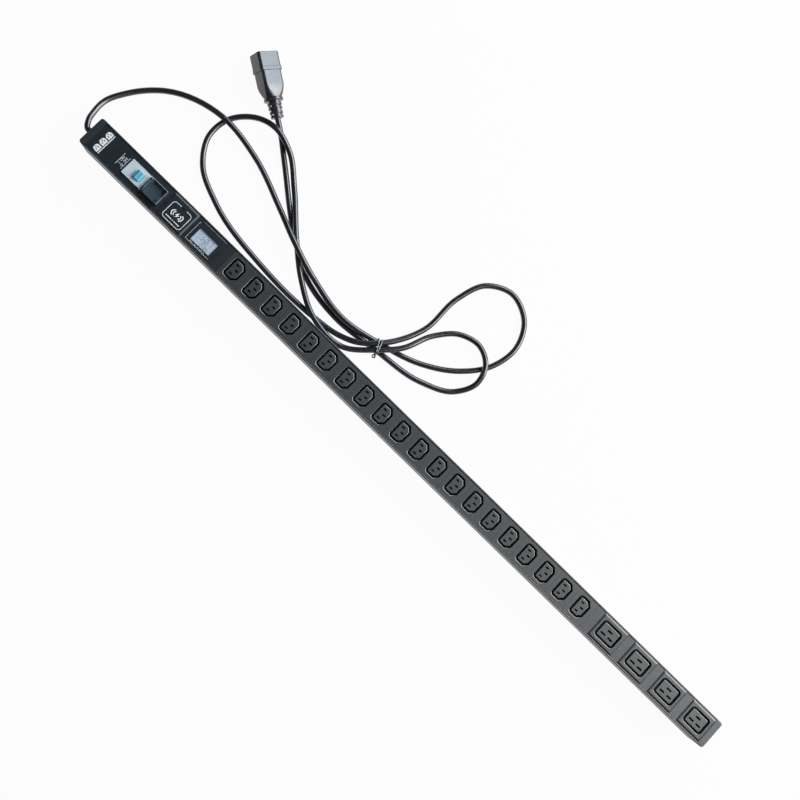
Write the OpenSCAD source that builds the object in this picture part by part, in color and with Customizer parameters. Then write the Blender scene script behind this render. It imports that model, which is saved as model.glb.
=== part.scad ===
// Vertical rack power strip lying on its back: an aluminium channel closed by
// snap-in modules, with a breaker under a flip cover, a surge module, a meter,
// two rows of outlet sizes, and a tied mains cord with its moulded plug.
// +X runs along the strip away from the cord, +Y across it, +Z out of its face.
// The origin is the middle of the back face.

/* [Channel] */
// Width of the aluminium channel
body_w = 44.4; // [43.6:0.2:48]
// Depth from the back face to the front lips
body_h = 45; // [43:0.5:60]
// Thickness of the side walls
wall = 1.8; // [1.4:0.1:2.2]
// Thickness of the back wall
back_t = 2.2; // [1.8:0.1:3]
// Width of each rounded front lip
lip_w = 2.6; // [2.3:0.1:2.8]
// Radius of the two back edges
back_r = 1.5; // [0.8:0.1:2]
// Width of the slot in the back for mounting studs
stud_slot_w = 6.4; // [5:0.2:8]
// Width of the undercut behind that slot
stud_head_w = 11; // [9:0.5:12]
// Length of each end cap outside the channel
cap_t = 9.5; // [7:0.5:14]
// Radius of the end caps' upright corners
cap_r = 4; // [2:0.5:6]

/* [Modules along the strip] */
// Length of the plain label plate
label_l = 34.5; // [28:0.5:60]
// Length of the breaker's plate
breaker_l = 91.6; // [88:0.2:110]
// Length of a square module
module_l = 45; // [43:0.5:50]
// Length of the meter's plate
meter_l = 53.4; // [50:0.2:70]
// Spacer before the small outlets
gap_a = 12.4; // [10:0.2:30]
// Number of small outlets
c13_count = 20; // [4:1:20]
// Pitch of the small outlets
c13_pitch = 34.4; // [32:0.2:40]
// Spacer after the small outlets
gap_b = 14; // [10:0.5:30]
// Number of large outlets
c19_count = 4; // [2:1:4]
// Spacer between the large outlets
gap_c = 12.7; // [10:0.1:30]
// Thickness of every front plate
plate_t = 2.2; // [1.8:0.1:3]
// How far the plates lie below the lips
plate_drop = 0.4; // [0.2:0.1:1]
// Open seam between neighbouring plates
seam = 0.2; // [0.1:0.05:0.4]
// Rise of the bevelled frame on square modules
bezel_rise = 1; // [0.6:0.1:1.6]
// Width of that frame's bevel
bezel_bevel = 2.4; // [1.5:0.1:3]

/* [Outlets] */
// Small outlet's nose, along the strip
c13_nose_x = 15.8; // [15.2:0.1:16.4]
// Small outlet's nose, across the strip
c13_nose_y = 23.8; // [23:0.1:24.4]
// Corner cut on the earth side of the small nose
c13_chamfer = 4.8; // [4:0.1:5.5]
// Large outlet's nose, along the strip
c19_nose_x = 28; // [27.4:0.1:28.6]
// Large outlet's nose, across the strip
c19_nose_y = 20.6; // [20:0.1:21.2]
// Width of the groove round each nose
moat_w = 3.4; // [3:0.1:3.8]
// Depth of that groove
moat_depth = 16; // [12:0.5:18]
// Wall outside the groove
moat_wall = 1.5; // [1.2:0.1:1.7]
// Chamfer on each nose's top edge
edge_cut = 0.6; // [0.3:0.1:0.8]
// Depth of an outlet behind its plate
outlet_depth = 22.4; // [20:0.2:26]

/* [Breaker] */
// Breaker's face along the strip
breaker_x = 35.6; // [34:0.2:40]
// Breaker's face across the strip
breaker_y = 24.2; // [22:0.2:28]
// Width of the switch lever
lever_w = 11.8; // [10:0.2:14]
// Radius of the lever's drum
drum_r = 7.4; // [6.8:0.1:7.6]
// Angle between the lever's two positions
lever_swing = 44; // [30:1:50]
// Length of the flip cover from its hinge
cover_l = 27.6; // [24:0.2:30]
// Outside width of the flip cover
cover_w = 24.2; // [22:0.2:26]
// Depth of the flip cover
cover_h = 6.6; // [6.4:0.1:8]
// Wall thickness of the flip cover
cover_t = 1.2; // [0.8:0.1:1.6]
// Radius of the flip cover's hinge pin
pin_r = 1; // [0.8:0.1:1.2]

/* [Surge module and meter] */
// Radius of the surge module's lamp
lamp_r = 2.4; // [2:0.1:3]
// Display window along the strip
window_x = 34.8; // [30:0.2:36]
// Display window across the strip
window_y = 21; // [18:0.5:24]
// Thickness of the circuit boards
board_t = 1.6; // [1:0.1:2]

/* [Cord and plug] */
// Diameter of the mains cord
cord_d = 8.2; // [7.4:0.1:8.2]
// Height at which the cord leaves the end cap
cord_z = 22; // [20:0.5:24]
// Plug shroud, long side
plug_w = 34; // [32:0.2:35]
// Plug shroud, short side
plug_h = 27; // [26:0.2:28]
// Length of the plug's shroud
shroud_l = 25; // [22:0.5:28]
// Length of the plug's tapered grip
grip_l = 36; // [30:0.5:42]
// Length of the plug's ribbed sleeve
sleeve_l = 27; // [20:0.5:32]
// Roll of the plug about its own length
plug_roll = 29; // [0:1:40]

/* [Hidden] */
CLEAR = 0.1;               // gap between pieces of the strip that are seated
RUN = 0.05;                // radial gap of a pin in its bore
FREE = 0.3;                // gap round a moving piece
FINE = 48;                 // sides of a round edge, exact in the solids
CUT = 1;                   // overshoot of a cutting tool
OVER = 0.2;                // overshoot of a chamfering tool
SIDES = [-1, 1];

// Heights in the channel
plate_z1 = body_h - plate_drop;
plate_z0 = plate_z1 - plate_t;
bezel_z = plate_z1 + bezel_rise;
shelf_t = 1.2;
shelf_w = 2;
inner_w = body_w - 2 * wall;
mouth_w = body_w - 2 * lip_w;
plate_w = mouth_w - 4 * CLEAR;
port_r = 3.2;
port_hole_r = 1.3;
port_y = inner_w / 2 - port_r + 0.4;
port_z = back_t + port_r - 0.4;
slot_lip = 1.6;
slot_deep = 3;
hump_w = stud_head_w + 2 * wall;
hump_z = slot_lip + slot_deep + 1.6;

// Places along the strip
c19_pitch = module_l + gap_c;
channel_l = label_l + breaker_l + module_l + meter_l + gap_a + c13_count * c13_pitch
  + gap_b + c19_count * c19_pitch - gap_c;
total_l = channel_l + 2 * cap_t;
channel_x0 = -channel_l / 2;
channel_x1 = channel_l / 2;
breaker_x0 = channel_x0 + label_l;
surge_x0 = breaker_x0 + breaker_l;
meter_x0 = surge_x0 + module_l;
gap_a_x0 = meter_x0 + meter_l;
c13_x0 = gap_a_x0 + gap_a;
gap_b_x0 = c13_x0 + c13_count * c13_pitch;
c19_x0 = gap_b_x0 + gap_b;
function c13_x(i) = c13_x0 + (i + 0.5) * c13_pitch;
function c19_x(i) = c19_x0 + i * c19_pitch + module_l / 2;

// Snap hooks under the plates
hook_l = 8;
hook_t = 1.3;
hook_drop = 3.8;
barb_h = 2;
shelf_y = inner_w / 2 - shelf_w;
barb_y = inner_w / 2 - 1.3;

// Outlets: contact rows, slots and the pockets behind them
c13_row_x = -2;            // live and neutral row from the nose's middle
c13_live_y = 7;
c13_earth_x = 2;
c19_live_x = 6.5;
c19_row_y = -4;
c19_earth_y = 4;
nose_drop = 0.3;
c13_corner = 1.6;
c19_corner = 2.2;
mouth_deep = 11;
slot_z0 = plate_z1 - mouth_deep;
c13_slot = [5, 2.4];
c13_pocket = [6.6, 3.4];
c19_slot = [8.4, 2.6];
c19_pocket = [9.6, 3.4];
outlet_z0 = plate_z0 - outlet_depth;
outlet_y = c13_nose_y + 2 * (moat_w + moat_wall);
c13_body_x = c13_nose_x + 2 * (moat_w + moat_wall);
c19_body_x = c19_nose_x + 2 * (moat_w + moat_wall);

// Busbars behind the outlets, on edge, with a contact pair in each pocket
bar_t = 1.2;
bar_h = 5;
bar_z0 = 12;
bar_lead_in = 6;
leaf_t = 0.7;
leaf_gap = 1.4;
leaf_w = 4;
leaf_z1 = slot_z0 - 0.6;
tab_z0 = bar_z0 - 2.4;
earth_tab_z0 = 7.4;

// Breaker, lever and flip cover
cover_margin = 4.9;        // from the cover's hinge line to the plate's end
hinge_gap = 0.4;
breaker_mid = breaker_x0 + breaker_l - cover_margin - cover_l - hinge_gap - breaker_x / 2;
breaker_face_z = body_h + 1.2;
breaker_deep_z = 12;
breaker_deep_x = 46;
breaker_deep_y = 34;
lever_off = 2.9;
lever_drop = 5;
lever_x = breaker_mid + lever_off;
lever_z = breaker_face_z - lever_drop;
paddle_t = 4;
paddle_r = drum_r + 2.6;
axle_r = 1.5;
axle_l = 1.6;
hinge_x = breaker_mid + breaker_x / 2 + hinge_gap;
cover_rim_z = breaker_face_z + FREE;
cover_top_z = cover_rim_z + cover_h;
hinge_z = (cover_top_z + plate_z1 + 0.4) / 2;
lug_y = 9.2;
lug_t = 3;
lug_r = 2.4;
knuckle_r = 2.2;
notch_r = 3;

// Surge module and meter
surge_mid = surge_x0 + module_l / 2;
lamp_x = surge_mid + 0.9;
lamp_y = 13.1;
surge_board_z = 17.2;
surge_board = [36, 31];
disc_r = 7;
disc_t = 4;
disc_pitch = 9;
disc_lift = 1.5;
meter_mid = meter_x0 + meter_l / 2;
window_y0 = -0.7;
window_t = 1.2;
window_edge = 1.2;
meter_board_drop = 8.8;
meter_board_z = plate_z0 - meter_board_drop;
meter_board = [46, 31];
post_r = 1.8;
post_in = 3;               // posts, in from the board's edges
coil_off = 8;
coil_x = meter_mid + coil_off;
coil_r = 7;
coil_l = 8;

// Leads between the cord, the breaker and the busbars
lead_r = 1.6;
lead_y = c13_live_y;
lead_z = bar_z0 + bar_h / 2;
earth_lead_z = 9;
lead_grip = 4;
tap_r = 1;
tap_x = 12;
stud_in = 26;              // earth stud, from the channel's end
stud_x = channel_x0 + stud_in;
stud_y = -11;
stud_r = 2;
stud_l = 9;
nut_r = 4;
nut_h = 2.6;
tag_z = 7.5;
tag_t = 1;
sheath_in = 18;            // cord's sheath, into the channel
sheath_x1 = channel_x0 + sheath_in;
sheath_gap = 4;

// Cord bush, clamp and screws
bush_r = 6.6;
bush_flange_r = 8;
bush_proud = 2;
clamp_l = 8;
clamp_y = 11;
clamp_h = 4;
saddle_z0 = 9.6;
saddle_l = 14;
clamp_z0 = cord_z + 1.5;
clamp_z1 = cord_z + cord_d / 2 + clamp_h;
spigot_l = (module_l - c19_body_x) / 2 - FREE;
spigot_y = 13.4;
spigot_z0 = 8.4;
spigot_z1 = 37;
spigot_t = 1.6;
screw_r = 1.25;
screw_head_r = 2.8;
screw_head_h = 2;
screw_l = 16;
clamp_screw_y = 7.6;

// Plug: sleeve with a collar, grip and shroud. It is tilted to rest on the floor
// on its collar's near edge and on the shroud's lower corner
sleeve_r0 = 9;
sleeve_r1 = 10.4;
sleeve_ribs = 4;
rib_gap = 1.6;
rib_deep = 1.4;
collar_l = 4;
collar_r = 13.5;
collar_x0 = sleeve_l - collar_l;
grip_r = 12.4;             // grip's end at the collar
grip_flat = 20;            // grip's straight stretch before the shroud
shroud_r = 4;
shroud_x0 = sleeve_l + grip_l;
plug_l = shroud_x0 + shroud_l;
lift = 0.2;
corner_half = (plug_w / 2 - shroud_r) * sin(plug_roll)
  + (plug_h / 2 - shroud_r) * cos(plug_roll) + shroud_r;
plug_pitch = atan((corner_half - collar_r) / (shroud_x0 - collar_x0));
plug_z = lift + collar_r * cos(plug_pitch) - collar_x0 * sin(plug_pitch);

// Route of the cord's middle line, with X from the bush's outer face: four runs
// pass one wire tie, lie on the floor and cross each other in low humps
cord_r = cord_d / 2;
low = cord_r + lift;       // lying on the floor
held = cord_r + 2.1;       // lower pair in the tie, over its wire
exit_x = channel_x0 - cap_t - bush_proud;
cord_points = [
  [0, 0, cord_z], [-9, 0, cord_z], [-17.3, 10.1, 20.5], [-21, 21, 17], [-24, 42.9, 11],
  [-12.6, 73.2, 6.5], [20.2, 113.5, low], [101.5, 141.7, 13.5], [170.1, 134.4, 6],
  [244.7, 106.2, 13], [293.8, 85.5, 22.5], [347.5, 69.6, 11.5], [410.3, 59.1, 12.6],
  [470, 70.7, held], [531.4, 90.9, low], [577.8, 122.2, low], [607.2, 162.3, low],
  [613, 204.2, low], [594.9, 239, low], [556, 254.3, low], [521.1, 235.9, low],
  [504.8, 192.2, low], [502.1, 130, 6], [489, 97, 11], [470.5, 70, 15.2],
  [446.8, 48.8, 15], [420, 38.3, 9], [382.8, 33.2, low], [280.1, 33.2, low],
  [176, 51, low], [126.3, 76.4, low], [103.8, 112.4, low], [107, 147.2, low],
  [130.8, 174, 8], [166.1, 181.4, 18.8], [197, 173.4, 10.5], [236.6, 142.4, 6],
  [291, 91, 13.6], [333, 57.2, 10.5], [381.4, 31.6, 13.8], [435.6, 29.9, 12.5],
  [473.9, 60.1, 15.2], [497.9, 87.6, 13], [517.2, 131.9, 5], [543.3, 160.2, low],
  [573.9, 167.3, 8], [598.3, 152.3, 13.5], [607.2, 126.1, 9], [592.6, 96.4, low],
  [548.7, 72.7, low], [473.2, 60.6, held], [400.6, 53.7, low], [336.8, 64.4, low],
  [285.3, 93.5, low], [198.7, 161.1, low], [167.3, 185.5, 8.5], [153.1, 194.8, plug_z]
];
cord_route = [for (p = cord_points) [exit_x + p[0], p[1], p[2]]];
cord_sides = 10;
span_one = 54;             // spans up to this length get one ring
span_two = 100;            // and up to this length two, longer ones three

// The plug lies along the route's last stretch
last = len(cord_route) - 1;
plug_dir = cord_route[last] - cord_route[last - 1];
plug_heading = atan2(plug_dir[1], plug_dir[0]);
band_l = 5;
shroud_wall = 2.5;
cavity_deep = 21;
blade = [17, 8, 2];
blade_y = 6.5;
blade_row_z = -4;
blade_earth_z = 4;

// Wire tie round the four strands
tie_x = 472.6;             // tie, from the cord's end in the bush
tie_y = 65.2;
tie_at = [exit_x + tie_x, tie_y];
tie_heading = 25;
tie_r = 0.8;
tie_half = 11.1;
tie_z0 = 1;
tie_z1 = 20.6;
tie_bend = 5;
tie_turns = 2;
tie_step = 2.2;
tail_l = 13;
tail_z = 2;

function two(n) = n < 10 ? str("0", n) : str(n);
C13_NODES = [for (i = [1 : c13_count]) str("c13_outlet_", two(i))];
C19_NODES = [for (i = [1 : c19_count]) str("c19_outlet_", i)];
SPACER_NODES = [for (i = [1 : c19_count + 1]) str("spacer_", i)];

// ---------------------------------------------------------------- shared shapes

// Rectangle with round corners about the origin
module rounded_rect(x, y, r) {
  square([x - 2 * r, y], center = true);
  square([x, y - 2 * r], center = true);
  for (sx = SIDES, sy = SIDES)
    translate([sx * (x / 2 - r), sy * (y / 2 - r)])
      circle(r, $fn = FINE);
}

// Box between two corners
module block(a, b) {
  translate(a)
    cube(b - a);
}

// Stretch a drawing in the YZ plane along X, from x0 to x1
module along(x0, x1) {
  translate([x0, 0, 0])
    rotate([90, 0, 90])
      linear_extrude(x1 - x0)
        children();
}

// Round bar along X, Y or Z from a point
module rod_x(p, l, r) {
  translate(p)
    rotate([0, 90, 0])
      cylinder(h = l, r = r, $fn = FINE);
}

module rod_y(p, l, r) {
  translate(p)
    rotate([-90, 0, 0])
      cylinder(h = l, r = r, $fn = FINE);
}

module rod_z(p, l, r) {
  translate(p)
    cylinder(h = l, r = r, $fn = FINE);
}

// Plain plate that drops between the lips, from x to x + l
module plate(x, l) {
  block([x + seam / 2, -plate_w / 2, plate_z0], [x + l - seam / 2, plate_w / 2, plate_z1]);
}

// Snap hooks that reach under both shelves, centred at x
module hooks(x) {
  leg_y = shelf_y - FREE;
  for (s = SIDES)
    translate([x - hook_l / 2, 0, 0])
      on_side(s)
        along(0, hook_l)
          polygon([
            [leg_y - hook_t, plate_z0 + CLEAR], [leg_y, plate_z0 + CLEAR],
            [leg_y, plate_z0 - shelf_t - CLEAR], [barb_y, plate_z0 - shelf_t - CLEAR],
            [leg_y, plate_z0 - shelf_t - barb_h], [leg_y - hook_t, plate_z0 - hook_drop]
          ]);
}

// The same shape on the +Y side, or mirrored on the -Y side
module on_side(s) {
  mirror([0, s < 0 ? 1 : 0, 0])
    children();
}

// Bevelled raised frame of a square module
module bezel(mid_x) {
  x = module_l - seam;
  top_x = x - 2 * bezel_bevel;
  top_y = plate_w - 2 * bezel_bevel;
  translate([mid_x, 0, plate_z1])
    linear_extrude(bezel_rise, scale = [top_x / x, top_y / plate_w])
      square([x, plate_w], center = true);
}

// Legs that hold a circuit board of size xy, from the plate down to its face
module posts(x, size, z) {
  for (sx = SIDES, sy = SIDES)
    rod_z([x + sx * (size[0] / 2 - post_in), sy * (size[1] / 2 - post_in), z],
          plate_z0 - z + CLEAR, post_r);
}

// ---------------------------------------------------------------- channel and ends

// Cross-section of the aluminium extrusion, drawn as Y and Z
module channel_profile() {
  lip_r = lip_w / 2;
  difference() {
    union() {
      translate([-body_w / 2, back_r])
        square([body_w, body_h - back_r - lip_r]);
      translate([back_r - body_w / 2, 0])
        square([body_w - 2 * back_r, back_r + CUT]);
      for (s = SIDES) {
        translate([s * (body_w / 2 - back_r), back_r])
          circle(back_r, $fn = FINE);
        translate([s * (body_w / 2 - lip_r), body_h - lip_r])
          circle(lip_r, $fn = FINE);
      }
    }
    difference() {
      union() {
        translate([-inner_w / 2, back_t])
          square([inner_w, plate_z0 - shelf_t - back_t]);
        translate([-shelf_y, back_t])
          square([2 * shelf_y, body_h]);
        translate([-mouth_w / 2, plate_z0])
          square([mouth_w, body_h - lip_r - plate_z0]);
        translate([-mouth_w / 2, body_h - lip_r - CUT])
          square([mouth_w, body_h]);
      }
      translate([-hump_w / 2, 0])
        square([hump_w, hump_z]);
      for (s = SIDES)
        translate([s * port_y, port_z])
          circle(port_r, $fn = FINE);
    }
    translate([-stud_slot_w / 2, -CUT])
      square([stud_slot_w, slot_lip + slot_deep]);
    translate([-stud_head_w / 2, slot_lip])
      square([stud_head_w, slot_deep]);
    for (s = SIDES) {
      translate([s * port_y, port_z])
        circle(port_hole_r, $fn = FINE);
      translate([s * (port_y - port_r / 2) - port_r / 2, port_z - 0.5])
        square([port_r, 1]);
    }
  }
}

module housing_channel() {
  color([0.05, 0.05, 0.055])
    along(channel_x0, channel_x1)
      channel_profile();
}

// Drawing made at x = 0 with +X outward, put at the cord end (-1) or the far end (1)
module at_end(side) {
  translate([side < 0 ? channel_x0 : channel_x1, 0, 0])
    mirror([side < 0 ? 1 : 0, 0, 0])
      children();
}

// End cap: outer block with rounded upright corners, hollow spigot and screw holes
module cap_blank() {
  difference() {
    union() {
      intersection() {
        along(0, cap_t)
          translate([0, body_h / 2])
            rounded_rect(body_w, body_h, back_r);
        translate([0, 0, -CUT])
          linear_extrude(body_h + 2 * CUT)
            rounded_rect(2 * cap_t, body_w, cap_r);
      }
      difference() {
        block([-spigot_l, -spigot_y, spigot_z0], [CUT, spigot_y, spigot_z1]);
        block([-spigot_l - CUT, spigot_t - spigot_y, spigot_z0 + spigot_t],
              [0, spigot_y - spigot_t, spigot_z1 - spigot_t]);
      }
    }
    for (s = SIDES) {
      rod_x([-CUT, s * port_y, port_z], cap_t + 2 * CUT, screw_r + FREE);
      rod_x([cap_t - screw_head_h - FREE, s * port_y, port_z], cap_t, screw_head_r + FREE);
    }
  }
}

// Cord end: the cap also carries the cord's bush and the saddle of its clamp
module end_cap_cord() {
  color([0.06, 0.06, 0.065])
    at_end(-1)
      difference() {
        union() {
          cap_blank();
          block([-saddle_l, -clamp_y, saddle_z0], [CUT, clamp_y, cord_z]);
        }
        rod_x([-CUT, 0, cord_z], cap_t + 2 * CUT, bush_r + CLEAR);
        rod_x([-saddle_l - CUT, 0, cord_z], saddle_l + 2 * CUT, cord_r + CLEAR);
        for (s = SIDES)
          rod_z([-saddle_l / 2, s * clamp_screw_y, saddle_z0 + 2], cord_z, screw_r + RUN);
      }
}

module end_cap_far() {
  color([0.06, 0.06, 0.065])
    at_end(1)
      cap_blank();
}

// Pan-head screw from its head's top, its shank along +Z
module screw() {
  cylinder(h = screw_head_h, r = screw_head_r, $fn = FINE);
  cylinder(h = screw_l, r = screw_r, $fn = FINE);
}

module case_screws() {
  color([0.5, 0.5, 0.52])
    for (s = SIDES) {
      for (end = SIDES)
        at_end(end)
          translate([cap_t - FREE, s * port_y, port_z])
            rotate([0, -90, 0])
              screw();
      at_end(-1)
        translate([-saddle_l / 2, s * clamp_screw_y, clamp_z1 + screw_head_h])
          rotate([180, 0, 0])
            screw();
    }
}

// Rubber grommet in the end cap, with a low flange outside
module cord_bush() {
  color([0.03, 0.03, 0.03])
    at_end(-1)
      difference() {
        union() {
          rod_x([0, 0, cord_z], cap_t, bush_r);
          rod_x([cap_t, 0, cord_z], bush_proud, bush_flange_r);
        }
        rod_x([-CUT, 0, cord_z], cap_t + bush_proud + 2 * CUT, cord_r + RUN);
      }
}

// End of the cord's sheath inside the bush and the clamp
module cord_sheath() {
  color([0.04, 0.04, 0.04])
    rod_x([exit_x, 0, cord_z], sheath_x1 - exit_x, cord_r);
}

// Bar that presses the sheath on the end cap's saddle
module cord_clamp() {
  color([0.75, 0.75, 0.72])
    at_end(-1)
      translate([-saddle_l / 2, 0, 0])
        difference() {
          block([-clamp_l / 2, -clamp_y, clamp_z0], [clamp_l / 2, clamp_y, clamp_z1]);
          rod_x([-clamp_l, 0, cord_z], 2 * clamp_l, cord_r + CLEAR);
          for (s = SIDES)
            rod_z([0, s * clamp_screw_y, cord_z], clamp_z1, screw_r + RUN);
        }
}

// Earth stud on the channel's back wall, with a nut under and over the lead's tag
module earth_stud() {
  color([0.75, 0.72, 0.5])
    translate([stud_x, stud_y, 0]) {
      rod_z([0, 0, back_t], stud_l, stud_r);
      for (z = [tag_z - CLEAR - nut_h, tag_z + tag_t + CLEAR])
        translate([0, 0, z])
          cylinder(h = nut_h, r = nut_r, $fn = 6);
    }
}

// ---------------------------------------------------------------- plates

module label_plate() {
  color([0.06, 0.06, 0.065]) {
    plate(channel_x0, label_l);
    hooks(channel_x0 + label_l / 2);
  }
}

module spacer(x, l) {
  color([0.08, 0.08, 0.085]) {
    plate(x, l);
    hooks(x + l / 2);
  }
}

// Spacer i: the first two stand beside the small outlets, the rest between the large ones
module spacer_at(i) {
  if (i == 0)
    spacer(gap_a_x0, gap_a);
  else if (i == 1)
    spacer(gap_b_x0, gap_b);
  else
    spacer(c19_x0 + (i - 2) * c19_pitch + module_l, gap_c);
}

// ---------------------------------------------------------------- breaker

// Upright lug of the cover's hinge, from the height z up; grow widens it on all sides
module hinge_lug(z, grow) {
  block([hinge_x - lug_r - grow, -lug_t / 2 - grow, z],
        [hinge_x + lug_r + grow, lug_t / 2 + grow, hinge_z]);
}

// Plate with the breaker's window and the two hinge lugs of its cover
module breaker_plate() {
  color([0.06, 0.06, 0.065])
    difference() {
      union() {
        difference() {
          plate(breaker_x0, breaker_l);
          translate([breaker_mid, 0, 0])
            linear_extrude(body_h)
              square([breaker_x, breaker_y] + 2 * CLEAR * [1, 1], center = true);
        }
        hooks(breaker_x0 + hook_l);
        hooks(breaker_x0 + breaker_l - hook_l);
        for (s = SIDES)
          translate([0, s * lug_y, 0]) {
            hinge_lug(plate_z0, 0);
            rod_y([hinge_x, -lug_t / 2, hinge_z], lug_t, lug_r);
          }
      }
      rod_y([hinge_x, -body_w / 2, hinge_z], body_w, pin_r + 0.01);
    }
}

// Breaker: its face in the plate's window, its case below, and the lever's pocket
module breaker_body() {
  case_z1 = plate_z0 - CLEAR;
  color([0.92, 0.92, 0.9])
    difference() {
      union() {
        difference() {
          block([breaker_mid - breaker_x / 2, -breaker_y / 2, case_z1 - CUT],
                [breaker_mid + breaker_x / 2, breaker_y / 2, breaker_face_z]);
          for (s = SIDES)
            translate([0, s * lug_y, 0])
              hinge_lug(case_z1, FREE);
        }
        block([breaker_mid - breaker_deep_x / 2, -breaker_deep_y / 2, breaker_deep_z],
              [breaker_mid + breaker_deep_x / 2, breaker_deep_y / 2, case_z1]);
      }
      rod_y([lever_x, -lever_w / 2 - FREE, lever_z], lever_w + 2 * FREE, drum_r + FREE);
      rod_y([lever_x, -lever_w / 2 - axle_l - FREE, lever_z],
            lever_w + 2 * (axle_l + FREE), axle_r + RUN);
      for (s = SIDES, end = SIDES)
        rod_x([breaker_mid + end * breaker_deep_x / 2 - lead_grip, s * lead_y, lead_z],
              2 * lead_grip, lead_r + CLEAR);
    }
}

// Rocking lever: a drum on two stub axles with a paddle that leans to the cord end
module breaker_lever() {
  color([0.1, 0.35, 0.6])
    translate([lever_x, 0, lever_z])
      rotate([0, -lever_swing / 2, 0]) {
        rod_y([0, -lever_w / 2, 0], lever_w, drum_r);
        rod_y([0, -lever_w / 2 - axle_l, 0], lever_w + 2 * axle_l, axle_r);
        block([-paddle_t / 2, -lever_w / 2, 0], [paddle_t / 2, lever_w / 2, paddle_r]);
      }
}

// Cover in its closed place over the breaker: a tray, a web and the hinge's knuckle
module cover_closed() {
  half = cover_w / 2;
  knuckle_half = lug_y - lug_t / 2 - FREE;
  back_x = hinge_x - lug_r - FREE;
  difference() {
    union() {
      block([hinge_x - cover_l, -half, cover_rim_z], [back_x, half, cover_top_z]);
      block([back_x - CUT, -knuckle_half, cover_top_z - cover_t],
            [hinge_x, knuckle_half, cover_top_z]);
      block([hinge_x - knuckle_r, -knuckle_half, hinge_z],
            [hinge_x, knuckle_half, cover_top_z]);
      rod_y([hinge_x, -knuckle_half, hinge_z], 2 * knuckle_half, knuckle_r);
    }
    block([hinge_x - cover_l + cover_t, cover_t - half, cover_rim_z - CUT],
          [back_x - cover_t, half - cover_t, cover_top_z - cover_t]);
    rod_y([hinge_x, -body_w / 2, hinge_z], body_w, pin_r + RUN);
    // finger notch in the free edge
    rod_z([hinge_x - cover_l, 0, cover_rim_z - CUT], cover_h, notch_r);
  }
}

// At rest the cover lies open, turned half round its pin
module breaker_cover() {
  color([0.35, 0.36, 0.38])
    translate([hinge_x, 0, hinge_z])
      rotate([0, 180, 0])
        translate([-hinge_x, 0, -hinge_z])
          cover_closed();
}

module cover_pin() {
  l = 2 * (lug_y + lug_t / 2);
  color([0.6, 0.6, 0.62])
    rod_y([hinge_x, -l / 2, hinge_z], l, pin_r);
}

// ---------------------------------------------------------------- surge module

module surge_plate() {
  color([0.06, 0.06, 0.065])
    difference() {
      union() {
        plate(surge_x0, module_l);
        bezel(surge_mid);
        hooks(surge_mid);
        posts(surge_mid, surge_board, surge_board_z + board_t);
      }
      rod_z([lamp_x, lamp_y, surge_board_z], body_h, lamp_r + CLEAR);
    }
}

// Light pipe from the board to the front, with a domed head
module surge_lamp() {
  z0 = surge_board_z + board_t;
  color([0.12, 0.15, 0.12]) {
    rod_z([lamp_x, lamp_y, z0], bezel_z - z0, lamp_r);
    translate([lamp_x, lamp_y, bezel_z])
      intersection() {
        sphere(lamp_r, $fn = FINE);
        cylinder(h = lamp_r / 2, r = lamp_r, $fn = FINE);
      }
  }
}

module surge_board() {
  color([0.1, 0.35, 0.2])
    block([surge_mid - surge_board[0] / 2, -surge_board[1] / 2, surge_board_z],
          [surge_mid + surge_board[0] / 2, surge_board[1] / 2, surge_board_z + board_t]);
}

// Three varistor discs on short feet across the board
module surge_discs() {
  z = surge_board_z + board_t;
  color([0.1, 0.2, 0.55])
    for (i = [-1, 0, 1])
      translate([surge_mid + i * disc_pitch, -2, z]) {
        rod_x([-disc_t / 2, 0, disc_r + disc_lift], disc_t, disc_r);
        block([-disc_t / 4, -disc_t, 0], [disc_t / 4, disc_t, disc_r]);
      }
}

// ---------------------------------------------------------------- meter

module meter_plate() {
  seat_z = plate_z1 - window_t;
  color([0.06, 0.06, 0.065])
    difference() {
      union() {
        plate(meter_x0, meter_l);
        hooks(meter_mid);
        posts(meter_mid, meter_board, meter_board_z + board_t);
      }
      translate([meter_mid, window_y0, 0])
        linear_extrude(body_h)
          square([window_x, window_y], center = true);
      translate([meter_mid, window_y0, seat_z])
        linear_extrude(body_h)
          square([window_x, window_y] + 2 * (window_edge + CLEAR) * [1, 1], center = true);
    }
}

module meter_window() {
  color([0.6, 0.65, 0.68, 0.4])
    translate([meter_mid, window_y0, plate_z1 - window_t])
      linear_extrude(window_t)
        square([window_x, window_y] + 2 * window_edge * [1, 1], center = true);
}

// Display cell between the board and the window
module meter_display() {
  z0 = meter_board_z + board_t;
  color([0.7, 0.75, 0.75])
    block([meter_mid - window_x / 2 + FREE, window_y0 - window_y / 2 + FREE, z0],
          [meter_mid + window_x / 2 - FREE, window_y0 + window_y / 2 - FREE,
           plate_z1 - window_t - CLEAR]);
}

module meter_board() {
  color([0.1, 0.35, 0.2])
    block([meter_mid - meter_board[0] / 2, -meter_board[1] / 2, meter_board_z],
          [meter_mid + meter_board[0] / 2, meter_board[1] / 2, meter_board_z + board_t]);
}

// Current transformer round the live lead
module meter_coil() {
  color([0.55, 0.3, 0.12])
    translate([coil_x, lead_y, lead_z])
      rotate([0, 90, 0])
        rotate_extrude($fn = FINE)
          translate([lead_r + CLEAR, -coil_l / 2])
            square([coil_r - lead_r - CLEAR, coil_l]);
}

// ---------------------------------------------------------------- outlets

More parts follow.
